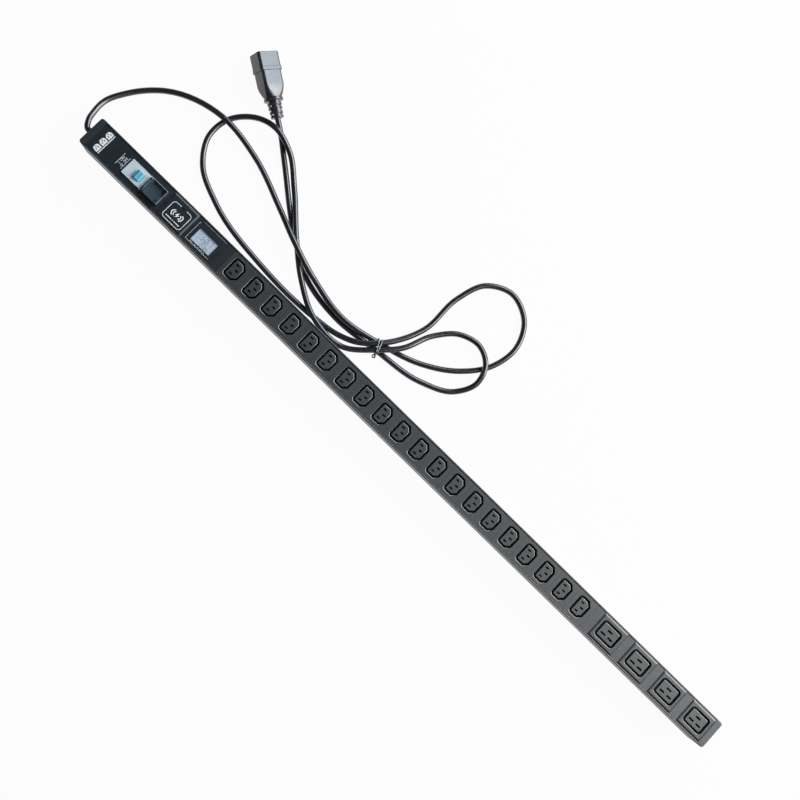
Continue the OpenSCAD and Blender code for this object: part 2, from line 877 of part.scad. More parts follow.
// Outline of the small nose grown by g: round corners on -X, cut corners on +X
module c13_outline(g) {
  hx = c13_nose_x / 2 + g;
  hy = c13_nose_y / 2 + g;
  cut = c13_chamfer + g * (2 - sqrt(2));
  r = c13_corner + g;
  polygon([[r - hx, -hy], [hx - cut, -hy], [hx, cut - hy], [hx, hy - cut], [hx - cut, hy], [r - hx, hy]]);
  translate([-hx, r - hy])
    square([r + CUT, 2 * (hy - r)]);
  for (s = SIDES)
    translate([r - hx, s * (hy - r)])
      circle(r, $fn = FINE);
}

module c19_outline(g) {
  rounded_rect(c19_nose_x + 2 * g, c19_nose_y + 2 * g, c19_corner + g);
}

// Cutters that chamfer a nose's top edge at z = 0: one along each straight edge,
// anticlockwise, and one round each corner [x, y, start angle] of radius r
module nose_chamfer(edges, corners, r) {
  for (e = edges)
    translate([e[0][0], e[0][1], 0])
      rotate([0, 0, atan2(e[1][1] - e[0][1], e[1][0] - e[0][0])])
        along(0, norm(e[1] - e[0]))
          polygon([[-OVER, -edge_cut - OVER], [edge_cut + OVER, OVER], [-OVER, OVER]]);
  for (c = corners)
    translate([c[0], c[1], 0])
      rotate([0, 0, c[2]])
        rotate_extrude(angle = 90, $fn = FINE)
          polygon([[r + OVER, -edge_cut - OVER], [r + OVER, OVER], [r - edge_cut - OVER, OVER]]);
}

module c13_chamfers() {
  hx = c13_nose_x / 2;
  hy = c13_nose_y / 2;
  bx = c13_corner - hx;
  by = hy - c13_corner;
  cx = hx - c13_chamfer;
  cy = hy - c13_chamfer;
  nose_chamfer([[[bx, -hy], [cx, -hy]], [[cx, -hy], [hx, -cy]], [[hx, -cy], [hx, cy]],
                [[hx, cy], [cx, hy]], [[cx, hy], [bx, hy]], [[-hx, by], [-hx, -by]]],
               [[bx, by, 90], [bx, -by, 180]], c13_corner);
}

module c19_chamfers() {
  hx = c19_nose_x / 2;
  hy = c19_nose_y / 2;
  bx = hx - c19_corner;
  by = hy - c19_corner;
  nose_chamfer([[[-bx, -hy], [bx, -hy]], [[hx, -by], [hx, by]],
                [[bx, hy], [-bx, hy]], [[-hx, by], [-hx, -by]]],
               [[bx, by, 0], [-bx, by, 90], [-bx, -by, 180], [bx, -by, 270]], c19_corner);
}

// Slot in the nose and the wider pocket behind it
module contact_way(x, y, slot, pocket) {
  translate([x, y, 0]) {
    translate([-slot[0] / 2, -slot[1] / 2, slot_z0 - CUT])
      cube([slot[0], slot[1], body_h]);
    translate([-pocket[0] / 2, -pocket[1] / 2, outlet_z0 - CUT])
      cube([pocket[0], pocket[1], slot_z0 - outlet_z0 + CUT]);
  }
}

// Barbs on an outlet's sides that hold it under the shelves
module outlet_barbs(l) {
  for (s = SIDES)
    on_side(s)
      along(-l / 2, l / 2)
        polygon([
          [outlet_y / 2 - CLEAR, plate_z0 - shelf_t - CLEAR], [barb_y, plate_z0 - shelf_t - CLEAR],
          [outlet_y / 2, plate_z0 - shelf_t - barb_h - 1], [outlet_y / 2 - CLEAR, plate_z0 - hook_drop]
        ]);
}

module outlet_case(x) {
  block([-x / 2, -outlet_y / 2, outlet_z0], [x / 2, outlet_y / 2, plate_z0 + CLEAR]);
  outlet_barbs(hook_l);
}

// Small outlet in its own frame
module c13_outlet() {
  color([0.07, 0.07, 0.075])
    difference() {
      union() {
        plate(-c13_pitch / 2, c13_pitch);
        outlet_case(c13_body_x);
      }
      translate([0, 0, plate_z1 - moat_depth])
        linear_extrude(body_h)
          difference() {
            c13_outline(moat_w);
            c13_outline(0);
          }
      translate([0, 0, plate_z1 - nose_drop])
        linear_extrude(body_h)
          c13_outline(moat_w);
      translate([0, 0, plate_z1 - nose_drop])
        c13_chamfers();
      for (s = SIDES)
        contact_way(c13_row_x, s * c13_live_y, c13_slot, c13_pocket);
      contact_way(c13_earth_x, 0, c13_slot, c13_pocket);
    }
}

// Large outlet in its own frame, in a bevelled frame
module c19_outlet() {
  color([0.07, 0.07, 0.075])
    difference() {
      union() {
        plate(-module_l / 2, module_l);
        bezel(0);
        outlet_case(c19_body_x);
      }
      translate([0, 0, plate_z1 - moat_depth])
        linear_extrude(body_h)
          difference() {
            c19_outline(moat_w);
            c19_outline(0);
          }
      translate([0, 0, bezel_z - nose_drop])
        linear_extrude(body_h)
          c19_outline(moat_w);
      translate([0, 0, bezel_z - nose_drop])
        c19_chamfers();
      for (s = SIDES)
        contact_way(s * c19_live_x, c19_row_y, c19_slot, c19_pocket);
      contact_way(0, c19_earth_y, c19_slot, c19_pocket);
    }
}

// ---------------------------------------------------------------- busbars

bar_inset = 1;
bar_past = 12;             // from the last outlet's middle to the bars' end
bar_x0 = c13_x0 + bar_inset;
bar_x1 = c19_x(c19_count - 1) + bar_past;

// Bar on edge at y along all the outlets
module bar(y) {
  block([bar_x0, y - bar_t / 2, bar_z0], [bar_x1, y + bar_t / 2, bar_z0 + bar_h]);
}

// Pair of contact leaves at x, y, on a stem that rises from z
module contact(x, y, z) {
  for (s = SIDES)
    block([x - leaf_w / 2, y + s * (leaf_gap + leaf_t) / 2 - leaf_t / 2, outlet_z0 - 2],
          [x + leaf_w / 2, y + s * (leaf_gap + leaf_t) / 2 + leaf_t / 2, leaf_z1]);
  block([x - leaf_w / 2, y - leaf_gap / 2 - leaf_t, outlet_z0 - 3],
        [x + leaf_w / 2, y + leaf_gap / 2 + leaf_t, outlet_z0 - 2 + CLEAR]);
  block([x - leaf_w / 2, y - bar_t / 2, z],
        [x + leaf_w / 2, y + bar_t / 2, outlet_z0 - 3 + CLEAR]);
}

// Cross tab from one y to another at x, with its lower face at z
module cross_tab(x, ya, yb, z) {
  block([x - leaf_w / 2, min(ya, yb) - bar_t / 2, z],
        [x + leaf_w / 2, max(ya, yb) + bar_t / 2, z + bar_t]);
}

module busbar_live() {
  color([0.8, 0.6, 0.25]) {
    bar(c13_live_y);
    for (i = [0 : c13_count - 1])
      contact(c13_x(i) + c13_row_x, c13_live_y, bar_z0);
    for (i = [0 : c19_count - 1]) {
      x = c19_x(i) - c19_live_x;
      block([x - leaf_w / 2, c13_live_y - bar_t / 2, tab_z0],
            [x + leaf_w / 2, c13_live_y + bar_t / 2, bar_z0 + CUT]);
      cross_tab(x, c19_row_y, c13_live_y, tab_z0);
      contact(x, c19_row_y, tab_z0);
    }
  }
}

module busbar_neutral() {
  color([0.8, 0.6, 0.25]) {
    bar(-c13_live_y);
    for (i = [0 : c13_count - 1])
      contact(c13_x(i) + c13_row_x, -c13_live_y, bar_z0);
    for (i = [0 : c19_count - 1]) {
      x = c19_x(i) + c19_live_x;
      cross_tab(x, -c13_live_y, c19_row_y, bar_z0);
      contact(x, c19_row_y, bar_z0);
    }
  }
}

module busbar_earth() {
  color([0.8, 0.6, 0.25]) {
    bar(0);
    block([bar_x0, -bar_t / 2, earth_tab_z0], [bar_x0 + bar_lead_in, bar_t / 2, bar_z0 + CUT]);
    for (i = [0 : c13_count - 1])
      contact(c13_x(i) + c13_earth_x, 0, bar_z0);
    for (i = [0 : c19_count - 1]) {
      cross_tab(c19_x(i), 0, c19_earth_y, bar_z0);
      contact(c19_x(i), c19_earth_y, bar_z0);
    }
  }
}

// Insulated leads: cord to breaker, breaker to busbars with taps to the two boards,
// and earth straight through with a branch to the channel's stud
module inner_leads() {
  breaker_a = breaker_mid - breaker_deep_x / 2;
  breaker_b = breaker_mid + breaker_deep_x / 2;
  start = sheath_x1 + sheath_gap;
  color([0.4, 0.3, 0.2]) {
    for (s = SIDES) {
      lead_bend(start, s);
      rod_x([start, s * lead_y, lead_z], breaker_a + lead_grip - start, lead_r);
      rod_x([breaker_b - lead_grip, s * lead_y, lead_z], bar_x0 - breaker_b + lead_grip, lead_r);
      rod_z([surge_mid - tap_x, s * lead_y, lead_z], surge_board_z - lead_z, tap_r);
      rod_z([meter_mid - tap_x, s * lead_y, lead_z], meter_board_z - lead_z, tap_r);
    }
    lead_bend(start, 0);
    rod_x([start, 0, earth_lead_z], bar_x0 - start, lead_r);
    rod_y([stud_x, stud_y + nut_r + 0.5, earth_lead_z], -stud_y - nut_r - 0.5, lead_r);
    difference() {
      union() {
        rod_z([stud_x, stud_y, tag_z], tag_t, nut_r - 0.4);
        block([stud_x - lead_r, stud_y, tag_z], [stud_x + lead_r, stud_y + nut_r + CUT, tag_z + tag_t]);
      }
      rod_z([stud_x, stud_y, 0], body_h, stud_r + RUN);
    }
  }
}

// Slanted core from the sheath's end face into the start of its own run
module lead_bend(x, s) {
  from = [sheath_x1, s * 2, cord_z + (s == 0 ? -2 : 1)];
  to = [x + lead_r, s * lead_y, s == 0 ? earth_lead_z : lead_z];
  d = to - from;
  difference() {
    translate(to)
      rotate([0, acos(-d[2] / norm(d)), atan2(-d[1], -d[0])])
        cylinder(h = norm(d) + lead_r, r = lead_r - CLEAR, $fn = FINE);
    block([sheath_x1 - body_w, -body_w, 0], [sheath_x1, body_w, body_h]);
  }
}

// ---------------------------------------------------------------- cord, tie and plug

// Point i of the route, with one more point past each end
function way(i) = i < 0 ? 2 * cord_route[0] - cord_route[1]
  : i > last ? 2 * cord_route[last] - cord_route[last - 1] : cord_route[i];

// Slope of the curve through point i, weighed by the two spans beside it
function slope(i) = let (a = norm(way(i) - way(i - 1)), b = norm(way(i + 1) - way(i)))
  ((way(i) - way(i - 1)) * (b / a) + (way(i + 1) - way(i)) * (a / b)) / (a + b);

// Point of span i at t from 0 to 1 on a cubic curve, kept off the floor
function span_point(i, t) = let (
    l = norm(way(i + 1) - way(i)),
    p = (2 * t ^ 3 - 3 * t ^ 2 + 1) * way(i) + (t ^ 3 - 2 * t ^ 2 + t) * l * slope(i)
      + (3 * t ^ 2 - 2 * t ^ 3) * way(i + 1) + (t ^ 3 - t ^ 2) * l * slope(i + 1))
  [p[0], p[1], max(p[2], low)];

function rings_in(i) = let (l = norm(way(i + 1) - way(i)))
  l > span_two ? 3 : l > span_one ? 2 : 1;

function unit(v) = v / norm(v);

// Circle of points about p, square to the direction d
function ring(p, d) = let (side = unit(cross(d, [0, 0, 1])), up = cross(side, unit(d)))
  [for (j = [0 : cord_sides - 1]) let (a = 360 * j / cord_sides)
    p + cord_r * (cos(a) * side + sin(a) * up)];

module cord() {
  line = concat(
    [for (i = [0 : last - 1]) for (k = [0 : rings_in(i) - 1]) span_point(i, k / rings_in(i))],
    [cord_route[last]]);
  n = len(line);
  function dir(i) = i == 0 ? line[0] - way(-1) : i == n - 1 ? way(last + 1) - line[n - 1]
    : unit(line[i] - line[i - 1]) + unit(line[i + 1] - line[i]);
  points = [for (i = [0 : n - 1]) each ring(line[i], dir(i))];
  m = cord_sides;
  sides = [for (i = [0 : n - 2]) for (j = [0 : m - 1]) let (a = i * m + j, b = i * m + (j + 1) % m)
    each [[a, b, a + m], [b, b + m, a + m]]];
  ends = [[for (j = [m - 1 : -1 : 0]) j], [for (j = [0 : m - 1]) (n - 1) * m + j]];
  color([0.04, 0.04, 0.04])
    polyhedron(points, concat(sides, ends), convexity = 10);
}

// One closed loop of wire round the strands, in the YZ plane
module tie_loop() {
  h = tie_z1 - tie_z0;
  flat_y = 2 * (tie_half - tie_bend);
  flat_z = h - 2 * tie_bend;
  for (s = SIDES) {
    rod_y([0, -flat_y / 2, s * h / 2], flat_y, tie_r);
    rod_z([0, s * tie_half, -flat_z / 2], flat_z, tie_r);
  }
  for (sy = SIDES, sz = SIDES)
    translate([0, sy * flat_y / 2, sz * flat_z / 2])
      rotate([sy > 0 ? (sz > 0 ? 0 : -90) : (sz > 0 ? 90 : 180), 0, 0])
        rotate([0, 90, 0])
          rotate([0, 0, 90])
            rotate_extrude(angle = 90, $fn = FINE)
              translate([tie_bend, 0])
                circle(tie_r, $fn = FINE);
}

module cord_tie() {
  color([0.75, 0.75, 0.76])
    translate([tie_at[0], tie_at[1], (tie_z0 + tie_z1) / 2])
      rotate([0, 0, tie_heading]) {
        for (i = [0 : tie_turns - 1])
          translate([(i - 0.5) * tie_step, 0, 0])
            tie_loop();
        // twisted ends, pressed together
        translate([0, -tie_half, tail_z])
          rotate([100, 0, 0])
            cylinder(h = tail_l, r = 2 * tie_r, $fn = FINE);
      }
}

// Plug's own frame: +X from the cord to the blades, Y along the shroud's long side
module at_plug() {
  translate(cord_route[last])
    rotate([0, 0, plug_heading])
      rotate([0, -plug_pitch, 0])
        rotate([plug_roll, 0, 0])
          children();
}

// Ribbed sleeve, revolved: ribs with grooves between them
module plug_sleeve() {
  step = collar_x0 / sleeve_ribs;
  grow = (sleeve_r1 - sleeve_r0) / sleeve_ribs;
  rotate([0, 90, 0]) {
    cylinder(h = sleeve_l, r = sleeve_r0 - rib_deep, $fn = FINE);
    for (i = [0 : sleeve_ribs - 1])
      translate([0, 0, i * step])
        cylinder(h = step - rib_gap, r = sleeve_r0 + i * grow, $fn = FINE);
    translate([0, 0, collar_x0])
      cylinder(h = collar_l, r = collar_r, $fn = FINE);
  }
}

module plug_body() {
  color([0.05, 0.05, 0.055])
    at_plug()
      difference() {
        union() {
          plug_sleeve();
          hull() {
            rod_x([sleeve_l - CLEAR, 0, 0], 1, grip_r);
            along(shroud_x0 - grip_flat, shroud_x0 + CLEAR)
              rounded_rect(plug_w - 3, plug_h - 1.6, shroud_r);
          }
          along(shroud_x0, plug_l)
            rounded_rect(plug_w - 0.8, plug_h - 0.8, shroud_r);
          along(shroud_x0, shroud_x0 + band_l)
            rounded_rect(plug_w, plug_h, shroud_r);
        }
        along(plug_l - cavity_deep, plug_l + CUT)
          rounded_rect(plug_w - 2 * shroud_wall, plug_h - 2 * shroud_wall, shroud_r - 1);
      }
}

// Three flat blades standing on the cavity's floor
module plug_blades() {
  color([0.75, 0.75, 0.77])
    at_plug()
      for (p = [[-blade_y, blade_row_z], [blade_y, blade_row_z], [0, blade_earth_z]])
        translate([plug_l - cavity_deep, p[0] - blade[1] / 2, p[1] - blade[2] / 2])
          cube(blade);
}

// ---------------------------------------------------------------- nodes

housing_channel();
end_cap_cord();
end_cap_far();
case_screws();
cord_bush();
cord_sheath();
cord_clamp();
earth_stud();
label_plate();
breaker_plate();
breaker_body();
breaker_lever();
breaker_cover();
cover_pin();
surge_plate();
surge_lamp();
surge_board();
surge_discs();
meter_plate();
meter_window();
meter_display();
meter_board();
meter_coil();
for (i = [0 : len(SPACER_NODES) - 1])
  spacer_at(i);
for (i = [0 : c13_count - 1])
  translate([c13_x(i), 0, 0]) c13_outlet();
for (i = [0 : c19_count - 1])
  translate([c19_x(i), 0, 0]) c19_outlet();
busbar_live();
busbar_neutral();
busbar_earth();
inner_leads();
cord();
cord_tie();
plug_body();
plug_blades();
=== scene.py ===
"""Looks of a rack power strip: camera, light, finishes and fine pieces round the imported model."""

import logging
import math
from dataclasses import dataclass
from enum import Enum
from typing import Sequence

import bpy
import numpy as np
from mathutils import Matrix, Vector
from mathutils.bvhtree import BVHTree


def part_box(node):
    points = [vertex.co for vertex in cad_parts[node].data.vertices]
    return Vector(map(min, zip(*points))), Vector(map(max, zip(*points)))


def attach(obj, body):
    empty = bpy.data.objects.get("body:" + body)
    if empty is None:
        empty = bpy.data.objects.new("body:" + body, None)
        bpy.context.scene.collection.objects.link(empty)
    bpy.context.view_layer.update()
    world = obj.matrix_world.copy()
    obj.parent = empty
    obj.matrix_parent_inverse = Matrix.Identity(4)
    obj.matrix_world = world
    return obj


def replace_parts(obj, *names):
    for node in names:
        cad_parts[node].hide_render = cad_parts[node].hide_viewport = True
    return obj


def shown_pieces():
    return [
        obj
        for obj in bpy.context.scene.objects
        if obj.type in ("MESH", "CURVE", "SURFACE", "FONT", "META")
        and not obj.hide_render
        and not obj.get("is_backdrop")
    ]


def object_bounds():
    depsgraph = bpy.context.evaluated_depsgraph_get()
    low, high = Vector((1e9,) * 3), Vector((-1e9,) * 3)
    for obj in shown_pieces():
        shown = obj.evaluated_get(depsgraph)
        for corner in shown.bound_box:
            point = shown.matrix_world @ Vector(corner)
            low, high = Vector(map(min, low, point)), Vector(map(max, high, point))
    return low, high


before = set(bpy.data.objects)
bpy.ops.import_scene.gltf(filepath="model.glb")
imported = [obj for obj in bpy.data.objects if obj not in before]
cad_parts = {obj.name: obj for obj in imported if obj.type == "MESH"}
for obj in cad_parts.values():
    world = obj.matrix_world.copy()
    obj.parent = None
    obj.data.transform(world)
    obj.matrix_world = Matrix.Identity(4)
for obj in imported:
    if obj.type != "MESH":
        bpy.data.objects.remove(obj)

log = logging.getLogger("power_strip")
MM = 0.001  # metres in a millimetre
GLOSS = 1.0  # specular level of painted, moulded and clear surfaces
INK = 0.00004  # thickness of a print, in metres
LIFT = 0.00001  # how far a print stands off its surface, in metres
Colour = tuple[float, float, float]
Triple = tuple[float, float, float]


# ------------------------------------------------------------------ shader graphs


class Signal:
    """A value in a shader graph that takes part in sums and products."""

    def __init__(self, graph: "Graph", socket: bpy.types.NodeSocket) -> None:
        """Keeps the graph and the socket that gives the value."""
        self.graph = graph
        self.socket = socket

    def joined(self, operation: str, other: "Signal | float") -> "Signal":
        """Joins this value with another by one Math node.

        Args:
            operation: the Math node's operation.
            other: the second value.

        Returns:
            The Math node's value.
        """
        node = self.graph.node("ShaderNodeMath", {0: self, 1: other}, operation=operation)
        return Signal(self.graph, node.outputs[0])

    def __add__(self, other: "Signal | float") -> "Signal":
        """This value plus the other."""
        return self.joined("ADD", other)

    def __mul__(self, other: "Signal | float") -> "Signal":
        """This value times the other."""
        return self.joined("MULTIPLY", other)

    __radd__ = __add__
    __rmul__ = __mul__

    def step(self, low: float, high: float) -> "Signal":
        """Smooth step of this value.

        Args:
            low: value at which the step is 0.
            high: value at which the step is 1.

        Returns:
            0 below low, 1 above high and a smooth rise between them.
        """
        node = self.graph.node(
            "ShaderNodeMapRange",
            {"Value": self, "From Min": low, "From Max": high},
            interpolation_type="SMOOTHSTEP",
        )
        return Signal(self.graph, node.outputs[0])


class Graph:
    """Node tree of one material: a Principled shader and what feeds it."""

    def __init__(self, name: str) -> None:
        """Makes the material with its shader joined to its output.

        Args:
            name: the material's name.
        """
        self.material = bpy.data.materials.new(name)
        self.material.use_nodes = True
        self.tree = self.material.node_tree
        self.tree.nodes.clear()
        self.shader = self.node("ShaderNodeBsdfPrincipled")
        self.output = self.node("ShaderNodeOutputMaterial")
        self.tree.links.new(self.shader.outputs[0], self.output.inputs["Surface"])
        self.place = self.node("ShaderNodeTexCoord").outputs["Object"]

    def node(self, kind: str, feeds: dict | None = None, **settings: object) -> bpy.types.Node:
        """Adds any node.

        Args:
            kind: Blender's name of the node type.
            feeds: values or signals for its inputs, by name or index.
            settings: the node's own properties.

        Returns:
            The node.
        """
        node = self.tree.nodes.new(kind)
        for name, value in settings.items():
            setattr(node, name, value)
        for name, value in (feeds or {}).items():
            self.feed(node.inputs[name], value)
        return node

    def feed(self, socket: bpy.types.NodeSocket, value: object) -> None:
        """Links a signal to a socket, or sets the socket's own value.

        Args:
            socket: the input to feed.
            value: a signal, or the value itself.
        """
        if isinstance(value, Signal):
            self.tree.links.new(value.socket, socket)
        else:
            socket.default_value = value

    def noise(self, size: float, detail: float = 2.0, stretch: Triple = (1, 1, 1)) -> Signal:
        """Noise of 0 to 1 in the object's own space.

        Args:
            size: size of its grains in metres.
            detail: how many finer layers it has.
            stretch: how many times longer the grains are along each axis.

        Returns:
            The noise value.
        """
        scale = tuple(1 / (size * s) for s in stretch)
        mapped = self.node("ShaderNodeMapping", {"Scale": scale})
        self.tree.links.new(self.place, mapped.inputs["Vector"])
        node = self.node("ShaderNodeTexNoise", {"Scale": 1.0, "Detail": detail})
        self.tree.links.new(mapped.outputs[0], node.inputs["Vector"])
        return Signal(self, node.outputs["Fac"])

    def blend(self, share: Signal, low: "Colour | Signal", high: Colour) -> Signal:
        """Colour between two colours.

        Args:
            share: 0 for the first colour and 1 for the second.
            low: first colour, or a signal that gives it.
            high: second colour.

        Returns:
            The mixed colour.
        """
        first = low if isinstance(low, Signal) else (*low, 1.0)
        node = self.node("ShaderNodeMix", {0: share, 6: first, 7: (*high, 1.0)}, data_type="RGBA")
        return Signal(self, node.outputs[2])

    def bump(self, height: Signal, depth: float) -> None:
        """Raises the surface by height times depth.

        Args:
            height: signal of 0 to 1.
            depth: rise at a height of 1, in metres.
        """
        node = self.node("ShaderNodeBump", {"Distance": depth, "Height": height})
        self.tree.links.new(node.outputs[0], self.shader.inputs["Normal"])

    def paint(self, **feeds: object) -> bpy.types.Material:
        """Feeds the shader's sockets.

        Args:
            feeds: signals or values by the sockets' names, with _ for a blank.

        Returns:
            The finished material.
        """
        for name, value in feeds.items():
            self.feed(self.shader.inputs[name.replace("_", " ")], value)
        return self.material


def shade(colour: Colour, factor: float) -> Colour:
    """The colour times a factor, no channel above 1."""
    return tuple(min(1.0, c * factor) for c in colour)


# ------------------------------------------------------------------ finishes


@dataclass(frozen=True)
class Moulded:
    """Moulded plastic: spark-eroded grain, slow changes of tone, faint dust."""

    name: str
    colour: Colour
    roughness: float = 0.4
    grain: float = 0.0006
    depth: float = 0.00003
    dust: float = 0.05
    dust_colour: Colour = (0.55, 0.55, 0.54)

    def material(self) -> bpy.types.Material:
        """Builds the material.

        Returns:
            The material.
        """
        graph = Graph(self.name)
        tone = graph.noise(size=0.03, detail=3.0)
        specks = graph.noise(size=0.004, detail=4.0).step(low=0.62, high=0.8)
        base = graph.blend(tone, shade(self.colour, 0.85), shade(self.colour, 1.15))
        dusty = graph.blend(specks * self.dust, base, self.dust_colour)
        rough = graph.noise(size=0.012, detail=3.0) * 0.12 + (self.roughness - 0.06)
        graph.bump(graph.noise(size=self.grain, detail=1.0), self.depth)
        return graph.paint(
            Base_Color=dusty, Roughness=rough + specks * 0.1, Specular_IOR_Level=GLOSS
        )


@dataclass(frozen=True)
class Extruded:
    """Painted aluminium extrusion: fine drawing lines along X under a satin coat."""

    name: str
    colour: Colour
    roughness: float = 0.38

    def material(self) -> bpy.types.Material:
        """Builds the material.

        Returns:
            The material.
        """
        graph = Graph(self.name)
        lines = graph.noise(size=0.0004, stretch=(400, 1, 1))
        tone = graph.noise(size=0.05, detail=3.0, stretch=(4, 1, 1))
        scuffs = graph.noise(size=0.006, detail=5.0, stretch=(5, 1, 1)).step(low=0.66, high=0.8)
        worn = tone * 0.7 + scuffs * 0.3
        base = graph.blend(worn, shade(self.colour, 0.8), shade(self.colour, 1.5))
        graph.bump(lines, depth=0.00002)
        return graph.paint(
            Base_Color=base,
            Roughness=lines * 0.1 + tone * 0.1 + (self.roughness - 0.08) + scuffs * 0.08,
            Specular_IOR_Level=GLOSS,
        )


@dataclass(frozen=True)
class Metal:
    """Bare metal: brushed in one direction, with faint stains."""

    name: str
    colour: Colour
    roughness: float = 0.3
    brushed: Triple = (20, 1, 1)

    def material(self) -> bpy.types.Material:
        """Builds the material.

        Returns:
            The material.
        """
        graph = Graph(self.name)
        brush = graph.noise(size=0.0003, stretch=self.brushed)
        stain = graph.noise(size=0.006, detail=4.0)
        base = graph.blend(stain, shade(self.colour, 0.8), shade(self.colour, 1.1))
        graph.bump(brush, depth=0.00001)
        return graph.paint(
            Base_Color=base,
            Metallic=1.0,
            Roughness=brush * 0.15 + stain * 0.1 + (self.roughness - 0.12),
        )


@dataclass(frozen=True)
class Sheath:
    """Soft PVC of a cord or plug: smooth and a little glossy, with scuffs and dust."""

    name: str
    colour: Colour
    roughness: float = 0.32
    scuff: Colour = (0.3, 0.3, 0.31)

    def material(self) -> bpy.types.Material:
        """Builds the material.

        Returns:
            The material.
        """
        graph = Graph(self.name)
        tone = graph.noise(size=0.02, detail=3.0)
        scuffs = graph.noise(size=0.005, detail=5.0).step(low=0.6, high=0.78)
        base = graph.blend(scuffs * 0.06 + tone * 0.02, self.colour, self.scuff)
        graph.bump(graph.noise(size=0.0012, detail=3.0), depth=0.000008)
        return graph.paint(
            Base_Color=base,
            Roughness=tone * 0.14 + scuffs * 0.2 + (self.roughness - 0.07),
            Specular_IOR_Level=GLOSS,
        )


@dataclass(frozen=True)
class Clear:
    """Clear or smoked plastic, seen through in part."""

    name: str
    colour: Colour
    alpha: float
    roughness: float = 0.12

    def material(self) -> bpy.types.Material:
        """Builds the material.

        Returns:
            The material.
        """
        graph = Graph(self.name)
        haze = graph.noise(size=0.01, detail=4.0)
        base = graph.blend(haze, shade(self.colour, 0.9), shade(self.colour, 1.1))
        graph.bump(graph.noise(size=0.003, detail=1.0), depth=0.00001)
        return graph.paint(
            Base_Color=base,
            Roughness=haze * 0.1 + (self.roughness - 0.05),
            Alpha=haze * 0.06 + (self.alpha - 0.03),
            Specular_IOR_Level=GLOSS,
        )


@dataclass(frozen=True)
class Ink:
    """Screen-printed ink, slightly uneven in its cover."""

    name: str
    colour: Colour

    def material(self) -> bpy.types.Material:
        """Builds the material.

        Returns:
            The material.
        """
        graph = Graph(self.name)
        cover = graph.noise(size=0.0007, detail=3.0)
        base = graph.blend(cover, shade(self.colour, 0.82), self.colour)
        graph.bump(cover, depth=0.00001)
        return graph.paint(Base_Color=base, Roughness=cover * 0.2 + 0.4)


@dataclass(frozen=True)
class Lamp:
    """Unlit coloured lens: dark, glossy, a little coated."""

    name: str
    colour: Colour

    def material(self) -> bpy.types.Material:
        """Builds the material.

        Returns:
            The material.
        """
        graph = Graph(self.name)
        tone = graph.noise(size=0.002)
        base = graph.blend(tone, shade(self.colour, 0.6), self.colour)
        return graph.paint(
            Base_Color=base, Roughness=tone * 0.1 + 0.08, Coat_Weight=tone * 0.4 + 0.3
        )


@dataclass(frozen=True)
class Board:
    """Lacquered circuit board with faint tracks."""

    name: str
    colour: Colour

    def material(self) -> bpy.types.Material:
        """Builds the material.

        Returns:
            The material.
        """
        graph = Graph(self.name)
        tracks = graph.noise(size=0.0015, detail=1.0, stretch=(6, 1, 1)).step(low=0.48, high=0.52)
        base = graph.blend(tracks, self.colour, shade(self.colour, 1.5))
        graph.bump(tracks, depth=0.00004)
        return graph.paint(Base_Color=base, Roughness=tracks * 0.1 + 0.3)


CHANNEL = Extruded("channel_black", (0.011, 0.014, 0.016), 0.4)
CAP = Moulded("cap_black", (0.018, 0.021, 0.026), 0.42)
PLATE = Moulded("plate_black", (0.0085, 0.015, 0.02), 0.36, dust=0.03)
OUTLET = Moulded("outlet_black", (0.021, 0.0215, 0.0215), 0.45, dust=0.04)
# Groove edges: lighter and glossier than the outlets, a painted highlight over rounded edges that
# also catch real light.
EDGE_HIGHLIGHT = Moulded("outlet_edges_painted_highlight", (0.06, 0.062, 0.064), 0.24, depth=0.00001, dust=0.0)
SPACER = Moulded("spacer_black", (0.019, 0.0205, 0.026), 0.32, dust=0.05)
WHITE = Moulded("breaker_white", (0.55, 0.64, 0.68), 0.32, depth=0.00001, dust=0.0)
BLUE = Moulded("lever_blue", (0.08, 0.35, 0.47), 0.28, depth=0.00001, dust=0.0)
SMOKED = Clear("cover_smoked", (0.045, 0.067, 0.09), 0.97, 0.34)
STEEL = Metal("zinc_steel", (0.55, 0.55, 0.57), 0.35)
LENS = Lamp("lamp_lens", (0.022, 0.038, 0.034))
BOARD = Board("board_green", (0.01, 0.1, 0.035))
DISC = Moulded("disc_blue", (0.02, 0.06, 0.3), 0.3)
WINDOW = Clear("window_clear", (0.55, 0.6, 0.65), 0.16, 0.12)
DISPLAY = Moulded("display_pale", (0.56, 0.67, 0.8), 0.3, depth=0.000005, dust=0.0)
COIL = Moulded("coil_black", (0.02, 0.02, 0.022), 0.3)
BRASS = Metal("tinned_brass", (0.72, 0.56, 0.28), 0.3)
LEAD = Moulded("lead_brown", (0.13, 0.07, 0.03), 0.35)
CLAMP = Moulded("clamp_grey", (0.5, 0.5, 0.48), 0.45)
CORD = Sheath("cord_black", (0.0115, 0.01, 0.013), 0.21)
PLUG = Sheath("plug_black", (0.019, 0.017, 0.019), 0.27)
BLADE = Metal("nickel_blade", (0.66, 0.65, 0.62), 0.22)
WIRE = Metal("tie_wire", (0.24, 0.28, 0.26), 0.42)
PRINT = Ink("print_white", (0.88, 0.9, 0.91))
# Pale line along two edges of the breaker cover: a painted highlight.
PAINTED_COVER_HIGHLIGHT = Ink("painted_cover_highlight", (0.45, 0.53, 0.6))
PRINT_BLUE = Ink("print_blue", (0.03, 0.25, 0.6))
# Pale line along the +Y edges of the surge and meter plates: a painted highlight where their rims
# catch the light, not ink.
PAINTED_EDGE_HIGHLIGHT = Ink("painted_edge_highlight", (0.3, 0.32, 0.27))
PRINT_GREY = Ink("print_grey", (0.72, 0.74, 0.78))
DIGIT = Ink("digit_dark", (0.08, 0.14, 0.18))
MASK = Ink("window_mask", (0.008, 0.012, 0.028))

Finish = Moulded | Extruded | Metal | Sheath | Clear | Ink | Lamp | Board


